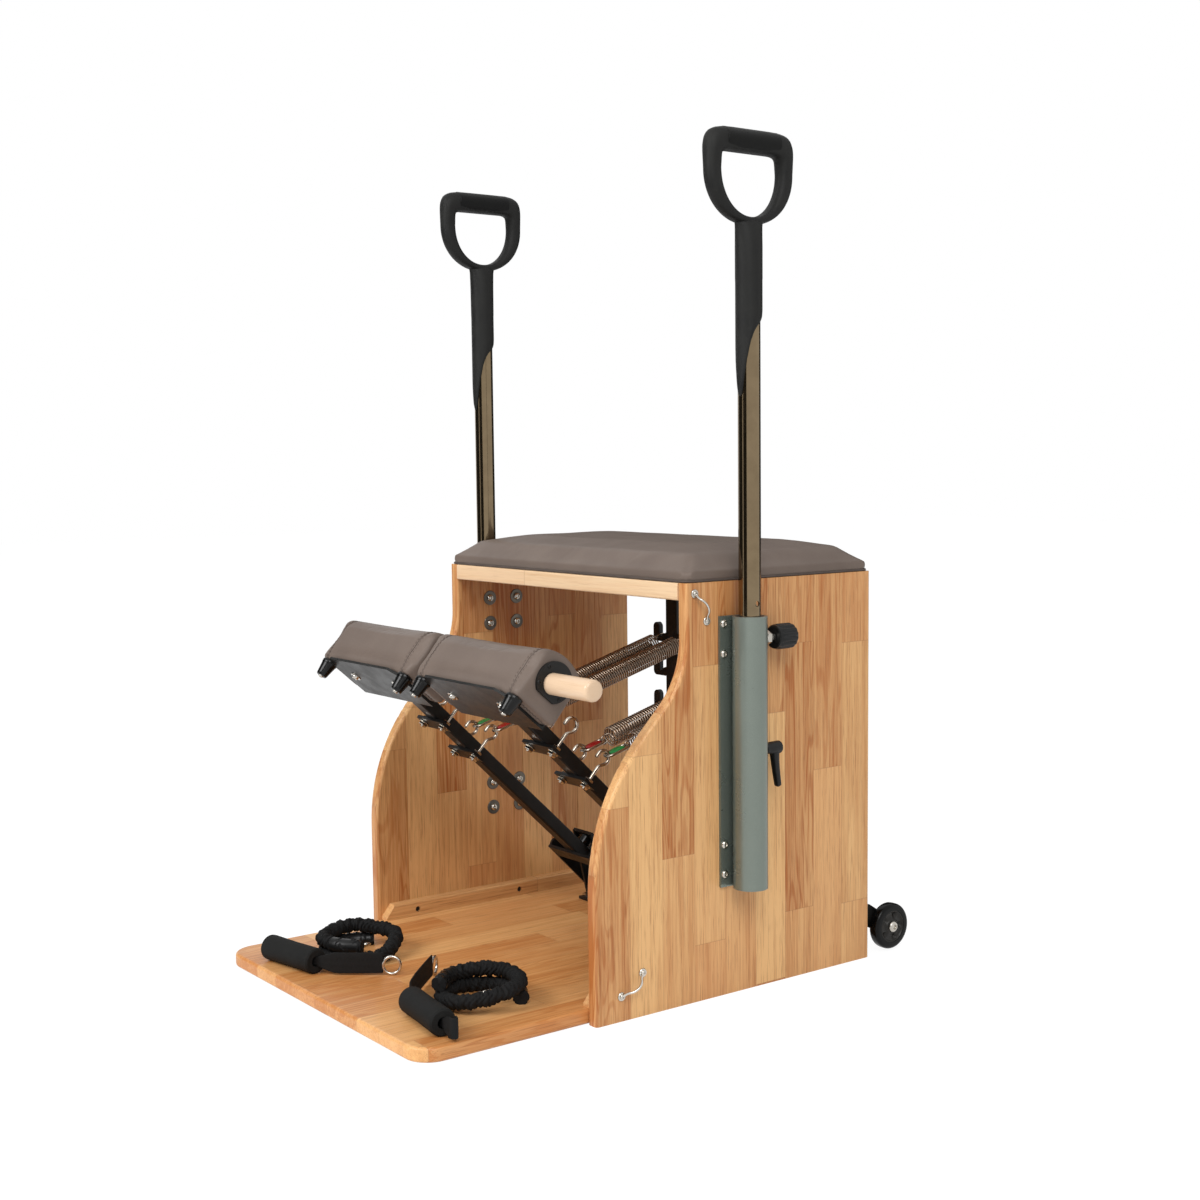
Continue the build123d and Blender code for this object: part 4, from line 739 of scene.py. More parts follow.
# The routes are the coils of the solids: centre, first turn, and 525 degrees of one climbing loop.
CORD_RADIUS, LOOP_RADIUS = 0.0100, 0.0548
CORDS = {
    "left": dict(
        centre=(-0.135, -0.295),
        turn=150.0,
        foam=((-0.203, -0.412), (-0.090, -0.392)),
        strap=((-0.060, -0.370), (-0.022, -0.318)),
    ),
    "right": dict(
        centre=(0.172, -0.272),
        turn=60.0,
        foam=((0.262, -0.388), (0.150, -0.372)),
        strap=((0.110, -0.350), (0.033, -0.268)),
    ),
}


def coil_route(centre, turn):
    """Control points of a coil: a lead, a circle that climbs by one cord and wanders a little, and a lead."""
    angle = np.linspace(0, 525, 71)
    around = np.radians(turn + angle)
    share = np.clip((angle - 180) / 165, 0, 1)
    free = smoothly(np.minimum(angle, 525 - angle), 15, 60)
    height = 0.02946 + 0.0208 * share * share * (3 - 2 * share)
    reach = LOOP_RADIUS + 0.0022 * free * np.sin(angle / 14 + turn)
    height = height + 0.0013 * free * (1 + np.sin(angle / 17 + 2 * turn))
    loop = np.stack([centre[0] + reach * np.cos(around), centre[1] + reach * np.sin(around), height], -1)
    facing = np.stack([-np.sin(around), np.cos(around), np.zeros_like(around)], -1)
    return np.concatenate([[loop[0] - 0.02 * facing[0]], loop, [loop[-1] + 0.02 * facing[-1]]])


def ruched_tube(path, stations, radius, around=40):
    """A gathered cloth sleeve: the radius swells by waves along it whose phase drifts round it.

    r = r0 (1 + 0.28 (|sin(pi s / 8.5 mm + drift)|^0.6 - 0.66) + two finer waves), where the drift
    2.1 sin(t + 31 s) + 1.3 sin(2 t - 47 s) + 0.8 sin(3 t + 83 s) turns the gathers into uneven puckers.
    """
    tangent, side, up = carried_frames(path, np.array((0, 0, 1.0)))
    turn = np.arange(around) * 2 * math.pi / around
    s = stations[:, None]
    drift = 2.1 * np.sin(turn + s * 31) + 1.3 * np.sin(2 * turn - s * 47 + 1.1) + 0.8 * np.sin(3 * turn + s * 83)
    wave = np.abs(np.sin(math.pi * s / 0.0085 + drift)) ** 0.6
    fine = np.sin(2 * math.pi * s / 0.0043 + 3 * turn + 2 * np.sin(s * 90))
    coarse = np.sin(2 * math.pi * s / 0.019 + 2.4 * np.sin(turn + s * 60))
    swell = np.maximum(0.73, 1 + 0.28 * (wave - 0.66) + 0.04 * fine + 0.10 * coarse)
    rings = path[:, None] + radius * swell[..., None] * (
        side[:, None] * np.cos(turn)[None, :, None] + up[:, None] * np.sin(turn)[None, :, None]
    )
    uv = np.stack(np.broadcast_arrays(s, (turn / (2 * math.pi))[None]), -1).reshape(-1, 2)
    return shell(rings), uv


def make_cord(side, facts):
    """One resistance cord: the coiled cord, its cuffs and clip, and its foam grip, strap and ring."""
    route = coil_route(facts["centre"], facts["turn"])
    path, stations = evenly(spline_points(route, 10), 0.0009)
    shape, uv = ruched_tube(path, stations, CORD_RADIUS)
    coil = piece(f"cord_{side}", [shape], cord_cloth, "frame", [f"cord_coil_{side}"], 60, uv)

    cuff_shapes = []
    for end in (path[:60], path[-60:][::-1]):
        swell = np.interp(np.arange(len(end)), [0, 6, 44, 59], [0.0088, 0.0108, 0.0112, 0.0104])
        cuff_shapes.append(tube(end, swell, sides=24, rounding=0.003))
    cuffs = piece(f"cord_cuffs_{side}", cuff_shapes, cuff_vinyl, "frame")

    x, y = facts["centre"]
    flat = bent_line([(0.028,), (0.0078, 180), (0.028,), (0.0078, 180)], (x - 0.014, y - 0.0078), 0.0)[:-1]
    loop = np.c_[flat, BASE_TOP + 0.0023 + 0.45 * (flat[:, 0] - x + 0.022)]
    gate = np.array((x, y - 0.0078, BASE_TOP + 0.0123))
    clip_shapes = [
        tube(loop, 0.0021, sides=12, close=True),
        turned([(-0.010, 0.0025), (-0.0095, 0.0032), (0.0095, 0.0032), (0.010, 0.0025)], gate, (1, 0, 0.45), 20),
    ]

    near, far = (np.array((*point, BASE_TOP + 0.019)) for point in facts["foam"])
    run = (far - near) / np.linalg.norm(far - near)
    profile = [(0.0, 0.0082), (0.0, 0.0165), (0.0022, 0.0188), (0.006, 0.0192)]
    length = np.linalg.norm(far - near)
    profile += [(length * 0.5, 0.0186)] + [(length - a, r) for a, r in profile[::-1]] + [(length * 0.5, 0.0080)]
    foam = piece(
        f"foam_grip_{side}", [turned(profile, near, run, 40, ring=True)], grip_foam, "frame"
    )

    tail = 0.020 if side == "right" else -0.001
    line = [near - run * tail, near + run * 0.002, near + run * 0.03, far - run * 0.02, far]
    line += [np.array((*point, BASE_TOP + 0.019)) for point in facts["strap"]]
    strap_path, strap_stations = evenly(spline_points(line, 16), 0.002)
    inside = np.clip(
        np.minimum(
            np.linalg.norm(strap_path - near, axis=1) / 0.02, np.linalg.norm(strap_path - far, axis=1) / 0.028
        ),
        0,
        1,
    )
    within = ((strap_path - near) @ run > -0.002) & ((strap_path - near) @ run < length + 0.002)
    half = np.where(within, 0.0070, 0.0070 + 0.0085 * inside)
    strap_shape = tube(strap_path, 0.0014, half, sides=24, power=6.0, rounding=0.0012)
    rows = (len(strap_shape[0]) - 2) // 24
    map_uv = np.stack(
        np.broadcast_arrays(np.linspace(0, strap_stations[-1], rows)[:, None], (np.arange(24) / 24)[None]), -1
    ).reshape(-1, 2)
    fold = bent_line([(0.004,), (0.0045, 170), (0.006,)], (0.0, 0.0), 0.0)
    fold_path = (near - run * 0.020) + fold[:, :1] * -run + fold[:, 1:] * np.cross(run, (0, 0, 1))
    fold_shape = tube(fold_path, 0.0014, 0.0140, sides=24, power=6.0)
    straps = [strap_shape, fold_shape] if side == "right" else [strap_shape]
    strap = piece(f"grip_strap_{side}", straps, webbing, "frame", uv=map_uv)

    before, last = (np.array((*point, 0.0)) for point in facts["strap"])
    ahead = (last - before) / np.linalg.norm(last - before)
    centre = last + ahead * 0.0125 + np.array((0, 0, BASE_TOP + 0.0150))
    turn = np.linspace(0, 2 * math.pi, 40, endpoint=False)[:, None]
    ring_path = centre + 0.0128 * (ahead * np.cos(turn) + np.array((0, 0, 1.0)) * np.sin(turn))
    clip_shapes.append(tube(ring_path, 0.0022, sides=12, first=np.cross(ahead, (0, 0, 1)), close=True))
    metal = piece(f"cord_metal_{side}", clip_shapes, bright_steel, "frame")
    return foam, strap, metal


made_cords = [make_cord(side, CORDS[side]) for side, _ in SIDES]
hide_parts("foam_grips")
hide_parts("grip_straps")
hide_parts("strap_rings", "cord_clips")

# ------------------------------------------------------------------ cushions


def copied_mesh(name, node):
    """A copy of a node's mesh with its loose triangles merged, as a new object."""
    mesh = nodes[node].data.copy()
    work = bmesh.new()
    work.from_mesh(mesh)
    bmesh.ops.remove_doubles(work, verts=work.verts, dist=1e-5)
    bmesh.ops.recalc_face_normals(work, faces=work.faces)
    work.to_mesh(mesh)
    work.free()
    mesh.materials.clear()
    made = bpy.data.objects.new(name, mesh)
    bpy.context.scene.collection.objects.link(made)
    return made


def mesh_points(mesh):
    """The points of a mesh as an array."""
    found = np.empty(len(mesh.vertices) * 3)
    mesh.vertices.foreach_get("co", found)
    return found.reshape(-1, 3)


def stuff(made, voxel, pressure, cap, share_of, frames=20):
    """Swell a pad by cloth under pressure; each point moves by no more than the cap, times its own share."""
    remesh = made.modifiers.new("even", "REMESH")
    remesh.mode, remesh.voxel_size = "VOXEL", voxel
    bpy.context.view_layer.update()
    even = bpy.data.meshes.new_from_object(made.evaluated_get(bpy.context.evaluated_depsgraph_get()))
    made.modifiers.clear()
    made.data = even
    rest = mesh_points(even)
    cloth = made.modifiers.new("stuffing", "CLOTH")
    cloth.settings.quality = 4
    cloth.settings.use_pressure = True
    cloth.settings.uniform_pressure_force = pressure
    cloth.settings.tension_stiffness = 12
    cloth.settings.compression_stiffness = 12
    cloth.settings.bending_stiffness = 0.6
    cloth.settings.effector_weights.gravity = 0
    cloth.collision_settings.use_self_collision = False
    cloth.point_cache.frame_start, cloth.point_cache.frame_end = 1, frames
    scene = bpy.context.scene
    for step in range(1, frames + 1):
        scene.frame_set(step)
    swollen = bpy.data.meshes.new_from_object(made.evaluated_get(bpy.context.evaluated_depsgraph_get()))
    moved = mesh_points(swollen) - rest
    made.modifiers.clear()
    scene.frame_set(1)
    bpy.data.meshes.remove(swollen)
    size = np.maximum(np.linalg.norm(moved, axis=1), 1e-9)
    moved *= (np.minimum(size, cap) / size * share_of(rest))[:, None]
    rest = rest + moved
    even.vertices.foreach_set("co", rest.ravel())
    even.update()
    even.shade_smooth()


def finish_pad(made, name, material, body, node):
    """The last subdivision of a stuffed pad, and what it stands for."""
    smooth = made.modifiers.new("soft", "SUBSURF")
    smooth.levels = smooth.render_levels = 1
    made.data.materials.append(material)
    made.data.name = name
    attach(made, body)
    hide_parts(node)
    return made


def cushion_surface():
    """The seat cushion, a band, a shoulder and a crown over the seat: the solid's cushion swollen by stuffing, its foot
    laid flat on the seat and held within the seat's outline, with a shallow crease along the corner ridges and a faint
    ripple away from the edges.
    """
    made = copied_mesh("seat_cushion_pad", "seat_cushion")
    centre_y, half_x, half_y = 0.16925, 0.3117, 0.18075

    def share(rest):
        rise = rest[:, 2] - CABINET_TOP
        return 0.12 + 0.88 * smoothly(rise, 0.014, 0.034)

    stuff(made, 0.005, 3.0, 0.006, share)
    points = mesh_points(made.data)
    rise = points[:, 2] - CABINET_TOP
    flat = rise < 0.0015
    points[flat, 2] = CABINET_TOP + 0.0003
    points[:, 0] = np.clip(points[:, 0], -half_x - 0.0005, half_x + 0.0005)
    points[:, 1] = np.clip(points[:, 1], centre_y - half_y - 0.0005, centre_y + half_y + 0.0005)
    corner = np.minimum(
        np.abs(np.abs(points[:, 0]) - half_x), np.abs(np.abs(points[:, 1] - centre_y) - half_y)
    )
    ridge = np.abs((half_x - np.abs(points[:, 0])) - (half_y - np.abs(points[:, 1] - centre_y)))
    crease = np.exp(-((ridge / 0.006) ** 2)) * smoothly(rise, 0.008, 0.018) * (1 - smoothly(rise, 0.028, 0.040))
    points[:, 2] -= 0.0016 * crease
    wave = np.sin(points[:, 0] * 61 + 1.3 * np.sin(points[:, 1] * 23)) * np.sin(points[:, 1] * 47 + 0.7)
    points[:, 2] += 0.0004 * wave * smoothly(corner, 0.01, 0.05)
    made.data.vertices.foreach_set("co", points.ravel())
    made.data.update()
    return finish_pad(made, "seat_cushion_pad", seat_leather, "frame", "seat_cushion")


seat_pad = cushion_surface()


def cushion_foot_shade_line():
    """The seam at the cushion's foot: a thin piping that follows a rounded rectangle, coloured darker than the leather
    as painted shade in the seam where the cushion meets the seat.
    """
    half_x, half_y, corner, centre_y = 0.3095, 0.1786, 0.012, 0.16925
    flat = bent_line(
        [
            (2 * (half_x - corner),),
            (corner, 90),
            (2 * (half_y - corner),),
            (corner, 90),
            (2 * (half_x - corner),),
            (corner, 90),
            (2 * (half_y - corner),),
            (corner, 90),
        ],
        (-half_x + corner, centre_y - half_y),
        0.0,
    )[:-1]
    path = np.c_[flat, np.full(len(flat), CABINET_TOP + 0.0021)]
    return piece("seat_foot_shade_line", [tube(path, 0.0019, sides=10, close=True)], seam_shadow, "frame")


cushion_foot_shade_line()


def pad_seam(hull, x, offset, stitch=0.0042, gap=0.0021):
    """Stitches along one seam round a pad: rays from outside find the surface, and a thread lies on each."""
    centre = pad_point(x, 0.041, 0.043)
    turn = np.linspace(0, 2 * math.pi, 720, endpoint=False)
    out_back = pad_point(x, 1.041, 0.043) - centre
    out_rise = pad_point(x, 0.041, 1.043) - centre
    found = []
    for back, rise in zip(np.cos(turn), np.sin(turn)):
        way = out_back * back + out_rise * rise
        hit = hull.ray_cast(Vector(centre + 0.2 * way + np.array((offset, 0, 0))), Vector(-way), 0.2)
        if hit[0] is not None:
            found.append((*hit[0], *hit[1]))
    found = np.array(found)
    path, normal = found[:, :3], found[:, 3:]
    length = np.concatenate([[0], np.cumsum(np.linalg.norm(np.diff(path, axis=0), axis=1))])
    starts = np.arange(0, length[-1] - stitch, stitch + gap)
    shapes = []
    for start in starts:
        at = start + stitch * np.array((0, 0.15, 0.5, 0.85, 1.0))
        lift = np.array((-0.0004, 0.0001, 0.00025, 0.0001, -0.0004))
        point = np.stack([np.interp(at, length, path[:, k]) for k in range(3)], -1)
        facing = np.stack([np.interp(at, length, normal[:, k]) for k in range(3)], -1)
        shapes.append(tube(point + facing * lift[:, None], 0.00042, sides=6, first=(1, 0, 0)))
    return shapes, path, normal


def make_foot_pad(side, s):
    """A foot pad: leather over foam with a seam near each end, a bore for the dowel and a flat underside."""
    middle = s * PAD_X
    made = copied_mesh(f"foot_pad_leather_{side}", f"foot_pad_{side}")
    axis = pad_point(middle, 0.0385, 0.044)
    foot = pad_point(middle, 0.0, 0.0)
    rise_way = pad_point(middle, 0.0, 1.0) - foot
    back_way = pad_point(middle, 1.0, 0.0) - foot

    def share(rest):
        from_axis = np.linalg.norm((rest - axis)[:, 1:], axis=1)
        rise, back = (rest - foot) @ rise_way, (rest - foot) @ back_way
        held = smoothly(from_axis, 0.020, 0.036) * (0.1 + 0.9 * smoothly(rise, 0.004, 0.03))
        return held * (0.25 + 0.75 * (1 - smoothly(back, 0.070, 0.080)))

    stuff(made, 0.0036, 3.5, 0.0035, share)
    points = mesh_points(made.data)
    rise = (points - foot) @ rise_way
    from_end = PAD_WIDTH / 2 - np.abs(points[:, 0] - middle)
    from_axis = (points - axis) * np.array((0, 1, 1))
    reach = np.linalg.norm(from_axis, axis=1)
    outward = from_axis / np.maximum(reach, 1e-6)[:, None]
    groove = np.exp(-(((from_end - 0.0175) / 0.0030) ** 2)) * smoothly(reach, 0.028, 0.034) * smoothly(rise, 0.002, 0.012)
    points -= outward * (0.0013 * groove)[:, None]
    limit = PAD_WIDTH / 2 + 0.0015
    points[:, 0] = np.clip(points[:, 0], middle - limit, middle + limit)
    inner = smoothly(-s * (points[:, 0] - middle), PAD_WIDTH / 2 - 0.030, PAD_WIDTH / 2 - 0.004)
    points[:, 0] -= s * 0.0055 * inner * smoothly(rise, 0.004, 0.020)
    low = rise < 0.0003
    points[low] += rise_way * (0.0003 - rise[low])[:, None]
    made.data.vertices.foreach_set("co", points.ravel())
    made.data.update()
    body = f"{side}_pedal"
    pad = finish_pad(made, made.name, seat_leather, body, f"foot_pad_{side}")
    hull = BVHTree.FromPolygons(points.tolist(), [list(face.vertices) for face in made.data.polygons])
    threads, folds = [], []
    for end in (-1, 1):
        seam_x = middle + end * (PAD_WIDTH / 2 - 0.0175)
        for offset in (-0.0030, 0.0030):
            threads += pad_seam(hull, seam_x, offset)[0]
        # Along the middle of each seam groove lies a thin tube in the darker seam colour: painted shade in the groove.
        path, normal = pad_seam(hull, seam_x, 0.0)[1:]
        rows, _ = evenly(path, 0.004)
        folds.append(tube(rows, 0.0006, sides=6, first=(1, 0, 0)))
    piece(f"pad_stitches_{side}", threads, thread, body)
    piece(f"pad_seam_shade_{side}", folds, seam_shadow, body)
    return pad


for side, s in SIDES:
    make_foot_pad(side, s)

# ------------------------------------------------------------------ springs, links and hooks

TREE_EYE = np.array((0.3370, 0.4585))
HOOK_EYE = arm_point(0.0, 0.39585, 0.03177)[1:]
SPRING_LINE = (TREE_EYE - HOOK_EYE) / np.linalg.norm(TREE_EYE - HOOK_EYE)
SPRING_REACH = float(np.linalg.norm(TREE_EYE - HOOK_EYE))


def spring_place(lane, along, across, rise):
    """A point by a spring: along its line from the hook, across it in X, and rising square to it."""
    y = HOOK_EYE[0] + SPRING_LINE[0] * along - SPRING_LINE[1] * rise
    z = HOOK_EYE[1] + SPRING_LINE[1] * along + SPRING_LINE[0] * rise
    return np.stack(np.broadcast_arrays(lane + across, y, z), -1)


def spring_path(lane, curls=74):
    """A spring: an open eye, a neck, a helix r (cos t, sin t) that advances steadily, a neck and an eye."""
    front, back = 0.04787, SPRING_REACH
    front_turn = np.radians(np.linspace(310, 90, 26))
    lead_in = spring_place(lane, front + 0.006 * np.cos(front_turn), 0.0, 0.006 * np.sin(front_turn))
    start, end = front + 0.009, back - 0.0175
    t = np.linspace(0, curls + 1.0, int((curls + 1) * 16))
    inward = np.clip(np.minimum(t, curls + 1.0 - t) / 0.5, 0, 1)
    radius = 0.0065 + (0.0142 - 0.0065) * inward * inward * (3 - 2 * inward)
    along = start + (end - start) * t / (curls + 1.0)
    helix = spring_place(lane, along, radius * np.sin(2 * math.pi * t), radius * np.cos(2 * math.pi * t))
    back_turn = np.radians(np.linspace(90, -130, 30))
    lead_out = spring_place(lane, back + 0.0085 * np.cos(back_turn), 0.0, 0.0085 * np.sin(back_turn))
    return np.concatenate([lead_in, helix, lead_out])


def make_springs(side, s):
    """The two springs of a pedal: each is built at rest, running from its link to the tree."""
    lanes = [s * PEDAL_X + way * LANE for way in (-1, 1)]
    shapes = [tube(spring_path(lane), 0.0015, sides=8, first=(1, 0, 0.2)) for lane in lanes]
    made = piece(f"springs_{side}", shapes, spring_steel, None, [f"spring_pair_{side}"], 60)
    start = spring_place(s * PEDAL_X, SPRING_REACH, 0.0, 0.0)
    end = spring_place(s * PEDAL_X, 0.047, 0.0, 0.0)
    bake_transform(made)
    return made


def make_links(side, s):
    """Wire rings that hold the springs, and the coloured inserts that tell the spring's strength."""
    rings = []
    for way in (-1, 1):
        lane = s * PEDAL_X + way * LANE
        flat = bent_line([(0.0251,), (0.0082, 180), (0.0251,), (0.0082, 180)], (0.01365, -0.0082), 0.0)[:-1]
        path = spring_place(lane, flat[:, 0], flat[:, 1], 0.0)
        rings.append(tube(path, 0.0022, sides=12, first=spring_place(0, 0, 0, 1) - spring_place(0, 0, 0, 0), close=True))
        turn = np.linspace(0, 2 * math.pi, 40, endpoint=False)
        outline = np.stack([0.0267 + 0.0132 * np.cos(turn), 0.0079 * np.sin(turn)], -1)
        layers = ((0.88, -0.0027), (1.0, -0.0017), (1.0, 0.0017), (0.88, 0.0027), (0.45, 0.0032))
        centre = np.array((0.0267, 0.0))
        rows = [
            spring_place(lane, *(centre + (outline - centre) * scale).T, height) for scale, height in layers
        ]
        colour, slot = (green_plastic, "outer") if way * s > 0 else (red_plastic, "inner")
        piece(
            f"link_insert_{slot}_{side}",
            [shell(np.stack(rows))],
            colour,
            f"{side}_pedal",
            [f"link_inserts_{side}"],
        )
    piece(f"spring_rings_{side}", rings, wire_steel, f"{side}_pedal", [f"spring_links_{side}"])


def make_hooks(side, s):
    """Four bent wire hooks: a threaded shank, a jog one way and an open bend the other way."""
    line = bent_line([(0.038,), (0.010, 40), (0.006,), (0.0105, -220), (0.007,)], (0.0, -0.024), 90.0, 10.0)
    wires, fasteners = [], []
    for station in HOOK_STATIONS:
        for way in (-1, 1):
            x = s * PEDAL_X + way * LANE
            path = arm_point(x, station - line[:, 0] * -1.0, line[:, 1])
            wires.append(tube(path, 0.0025, sides=12, first=(1, 0, 0), rounding=0.0016))
            base = arm_point(x, station, -0.016)
            out = arm_point(x, station, -1.016) - base
            nut = [(0.0, 0.0055), (0.0, 0.0060), (0.0006, 0.0065), (0.0040, 0.0065), (0.0046, 0.0058), (0.0046, 0.003)]
            six = (0.6, 0.9, 1, 1, 0.8, 0)
            washer = [(0.0, 0.0030), (0.0, 0.0082), (0.0010, 0.0084), (0.0013, 0.0078), (0.0013, 0.0030)]
            fasteners.append(turned(washer, base, out, 28))
            fasteners.append(turned(nut, base + out * 0.0013, out, 24, six))
            fasteners.append(turned(nut, arm_point(x, station, -0.011), -out, 24, six))
    return wires, fasteners


def button_screw(centre, axis, radius, height, washer=0.0, sides=28):
    """A domed screw head with a six-sided pit, and a washer under it where one is given."""
    shapes = []
    base = np.asarray(centre, float)
    axis = np.asarray(axis, float) / np.linalg.norm(axis)
    if washer:
        disc = [(0.0, 0.002), (0.0, washer), (0.0011, washer), (0.0015, washer - 0.0006), (0.0015, 0.002)]
        shapes.append(turned(disc, base, axis, sides))
        base = base + axis * 0.0015
    rise = np.array((0.0, 0.0, 0.35, 0.70, 0.92, 1.0, 1.0, 0.45, 0.40))
    reach = np.array((0.5, 1.0, 0.98, 0.86, 0.66, 0.52, 0.42, 0.40, 0.05))
    six = (0, 0, 0, 0, 0, 0, 1, 1, 1)
    shapes.append(turned(np.stack([rise * height, reach * radius], -1), base, axis, sides, six))
    return shapes


def make_pedal_trim(side, s):
    """Hooks, nuts, pad screws and rubber feet of one pedal."""
    body, middle = f"{side}_pedal", s * PAD_X
    wires, fasteners = make_hooks(side, s)
    piece(f"hooks_{side}", wires, wire_steel, body, [f"spring_hooks_{side}"])
    down = pad_point(0, 0, -1) - pad_point(0, 0, 0)
    for way in (-1, 1):
        seat = pad_point(middle + way * 0.0635, 0.036, -0.004)
        fasteners += button_screw(seat, down, 0.0056, 0.0036, washer=0.0088)
        corner = pad_point(middle + way * 0.117, 0.012, -0.0035)
        fasteners += button_screw(corner + down * 0.0235, down, 0.0042, 0.0022)
    piece(f"pedal_screws_{side}", fasteners, bright_steel, body, [f"pedal_fasteners_{side}"])
    feet = []
    for way in (-1, 1):
        top = pad_point(middle + way * 0.117, 0.012, 0.0)
        profile = [(0.0, 0.004), (0.0, 0.0121), (0.0012, 0.0126), (0.0050, 0.0123), (0.0062, 0.0117)]
        profile += [(0.0062 + 0.0190 * share, 0.0117 - 0.0030 * share) for share in np.linspace(0.1, 1, 6)]
        profile += [(0.0262, 0.0079), (0.0268, 0.0066), (0.0268, 0.004)]
        feet.append(turned(profile, top, down, 32))
    piece(f"pad_feet_{side}", feet, stop_rubber, body, [f"pad_bumpers_{side}"])
    right = np.array((1.0, 0, 0))
    face = middle + PAD_WIDTH / 2 + 0.004
    studs = []
    for back, rise in ((0.0190, 0.0590), (0.0610, 0.0590), (0.0190, 0.0330), (0.0610, 0.0330)):
        studs += button_screw(pad_point(face, back, rise), right, 0.0031, 0.0014, sides=20)
    piece(f"flange_screws_{side}", studs, black_steel, body)


for side, s in SIDES:
    make_springs(side, s)
    make_links(side, s)
    make_pedal_trim(side, s)

# ------------------------------------------------------------------ handles


def outline_reach(angle, half, above, below, corner):
    """How far an outline is from the loop's centre: a superellipse of a high power above, of 2.1 below.

    r = (|cos a / half|^p + |sin a / height|^p)^(-1/p), with p the corner's power above the centre.
    """
    over = np.sin(angle) >= 0
    power = np.where(over, corner, 2.1)
    height = np.where(over, above, below)
    return (np.abs(np.cos(angle) / half) ** power + np.abs(np.sin(angle) / height) ** power) ** (-1 / power)


def grip_loop(x, centre_z=1.166, around=120, sides=24):
    """The D of a grip: at each angle a section spans from the inner outline to the outer one."""
    angle = np.arange(around) * 2 * math.pi / around
    outer = outline_reach(angle, 0.0775, 0.0560, 0.0730, 6.0)
    inner = outline_reach(angle, 0.0535, 0.0235, 0.0620, 9.0)
    middle, half = (outer + inner) / 2, (outer - inner) / 2
    depth = np.interp(middle * np.sin(angle), (-0.07, 0.0, 0.022, 0.045), (0.0118, 0.0112, 0.0135, 0.0158))
    turn = np.arange(sides) * 2 * math.pi / sides
    over = np.sign(np.cos(turn)) * np.abs(np.cos(turn)) ** (2 / 2.5)
    aside = np.sign(np.sin(turn)) * np.abs(np.sin(turn)) ** (2 / 2.5)
    reach = middle[:, None] + half[:, None] * over
    points = np.stack(
        [
            x + depth[:, None] * aside,
            POLE_Y + reach * np.cos(angle)[:, None],
            centre_z + reach * np.sin(angle)[:, None],
        ],
        -1,
    )
    return shell(points, close_rows=True)


def cut_height(offset):
    """The lower edge of the socket over the pole, from the heel behind to the tongue in front."""
    at = (-0.0195, -0.0190, -0.0178, -0.0155, -0.0108, -0.0055, 0.0000, 0.0100, 0.0195)
    heights = (0.858, 0.862, 0.882, 0.908, 0.933, 0.947, 0.954, 0.962, 0.967)
    return np.interp(offset, at, heights)


def make_grip(side, s):
    """The D-shaped grip: a closed loop of changing section, a neck and a socket with a slanting mouth.

    The socket is the surface r(z) (cos t, sin t) from the neck down to the cut's height at each angle.
    """
    x = s * POLE_X
    loop = grip_loop(x)
    turn = np.arange(56) * 2 * math.pi / 56
    levels = np.array((1.101, 1.096, 1.090, 1.078, 1.064, 1.045, 1.020))
    half_y = np.interp(levels, (1.020, 1.064, 1.090, 1.101), (0.0192, 0.0200, 0.0218, 0.0250))
    half_x = np.interp(levels, (1.020, 1.064, 1.090, 1.101), (0.0192, 0.0182, 0.0150, 0.0105))
    neck = np.stack(
        [
            x + half_x[:, None] * np.cos(turn),
            POLE_Y + half_y[:, None] * np.sin(turn),
            np.broadcast_to(levels[:, None], (len(levels), 56)),
        ],
        -1,
    )
    bottom = cut_height(0.0195 * np.sin(turn))
    share = np.linspace(0, 1, 22)[1:, None]
    height = 1.020 + share * (bottom - 1.020)
    thin = np.interp(height - bottom, (0.0, 0.004, 0.012), (0.0172, 0.0184, 0.0190))
    socket = np.stack([x + thin * np.cos(turn), POLE_Y + thin * np.sin(turn), height], -1)
    inner_height = np.stack([bottom + 0.0004, bottom + 0.02, np.full(56, 1.0)])
    inner_radius = np.array((0.0161, 0.0161, 0.0161))[:, None]
    inside = np.stack(
        [x + inner_radius * np.cos(turn), POLE_Y + inner_radius * np.sin(turn), inner_height], -1
    )
    body = shell(np.concatenate([neck, socket, inside]))
    bar = turned(
        [(-0.049, 0.002), (-0.049, 0.0152), (-0.0478, 0.0166), (0.0478, 0.0166), (0.049, 0.0152), (0.049, 0.002)],
        (x, POLE_Y, 1.2055),
        (0, 1, 0),
        40,
    )
    piece(f"grip_bar_{side}", [bar], bar_rubber, f"handle_{side}")
    return piece(
        f"grip_{side}", [loop, body], grip_plastic, f"handle_{side}", [f"handle_grip_{side}"], 50
    )


def make_knob(side, s):
    """The ribbed knob of an index pin and its pin; the bright collar is among the pin housings."""
    centre = np.array((s * POLE_X, POLE_Y, 0.518))
    start = 0.044
    profile = [
        (0.0, 0.006), (0.0, 0.0150), (0.0012, 0.0168), (0.0040, 0.0172), (0.0052, 0.0178), (0.0075, 0.0185),
        (0.0300, 0.0185), (0.0330, 0.0178), (0.0350, 0.0160), (0.0362, 0.0130), (0.0366, 0.009), (0.0366, 0.002),
    ]
    depth = np.array((0, 0, 0, 0, 0.03, 0.10, 0.10, 0.09, 0.03, 0, 0, 0))
    profile = [(start + along, radius) for along, radius in profile]
    knob = turned(profile, centre, (0, 1, 0), 112, lobes=14, depth=depth)
    pin = turned([(0.0135, 0.0039), (0.046, 0.0039)], centre, (0, 1, 0), 20)
    piece(f"index_knob_{side}", [knob, pin], knob_plastic, f"index_pin_{side}", [f"index_pin_{side}"])


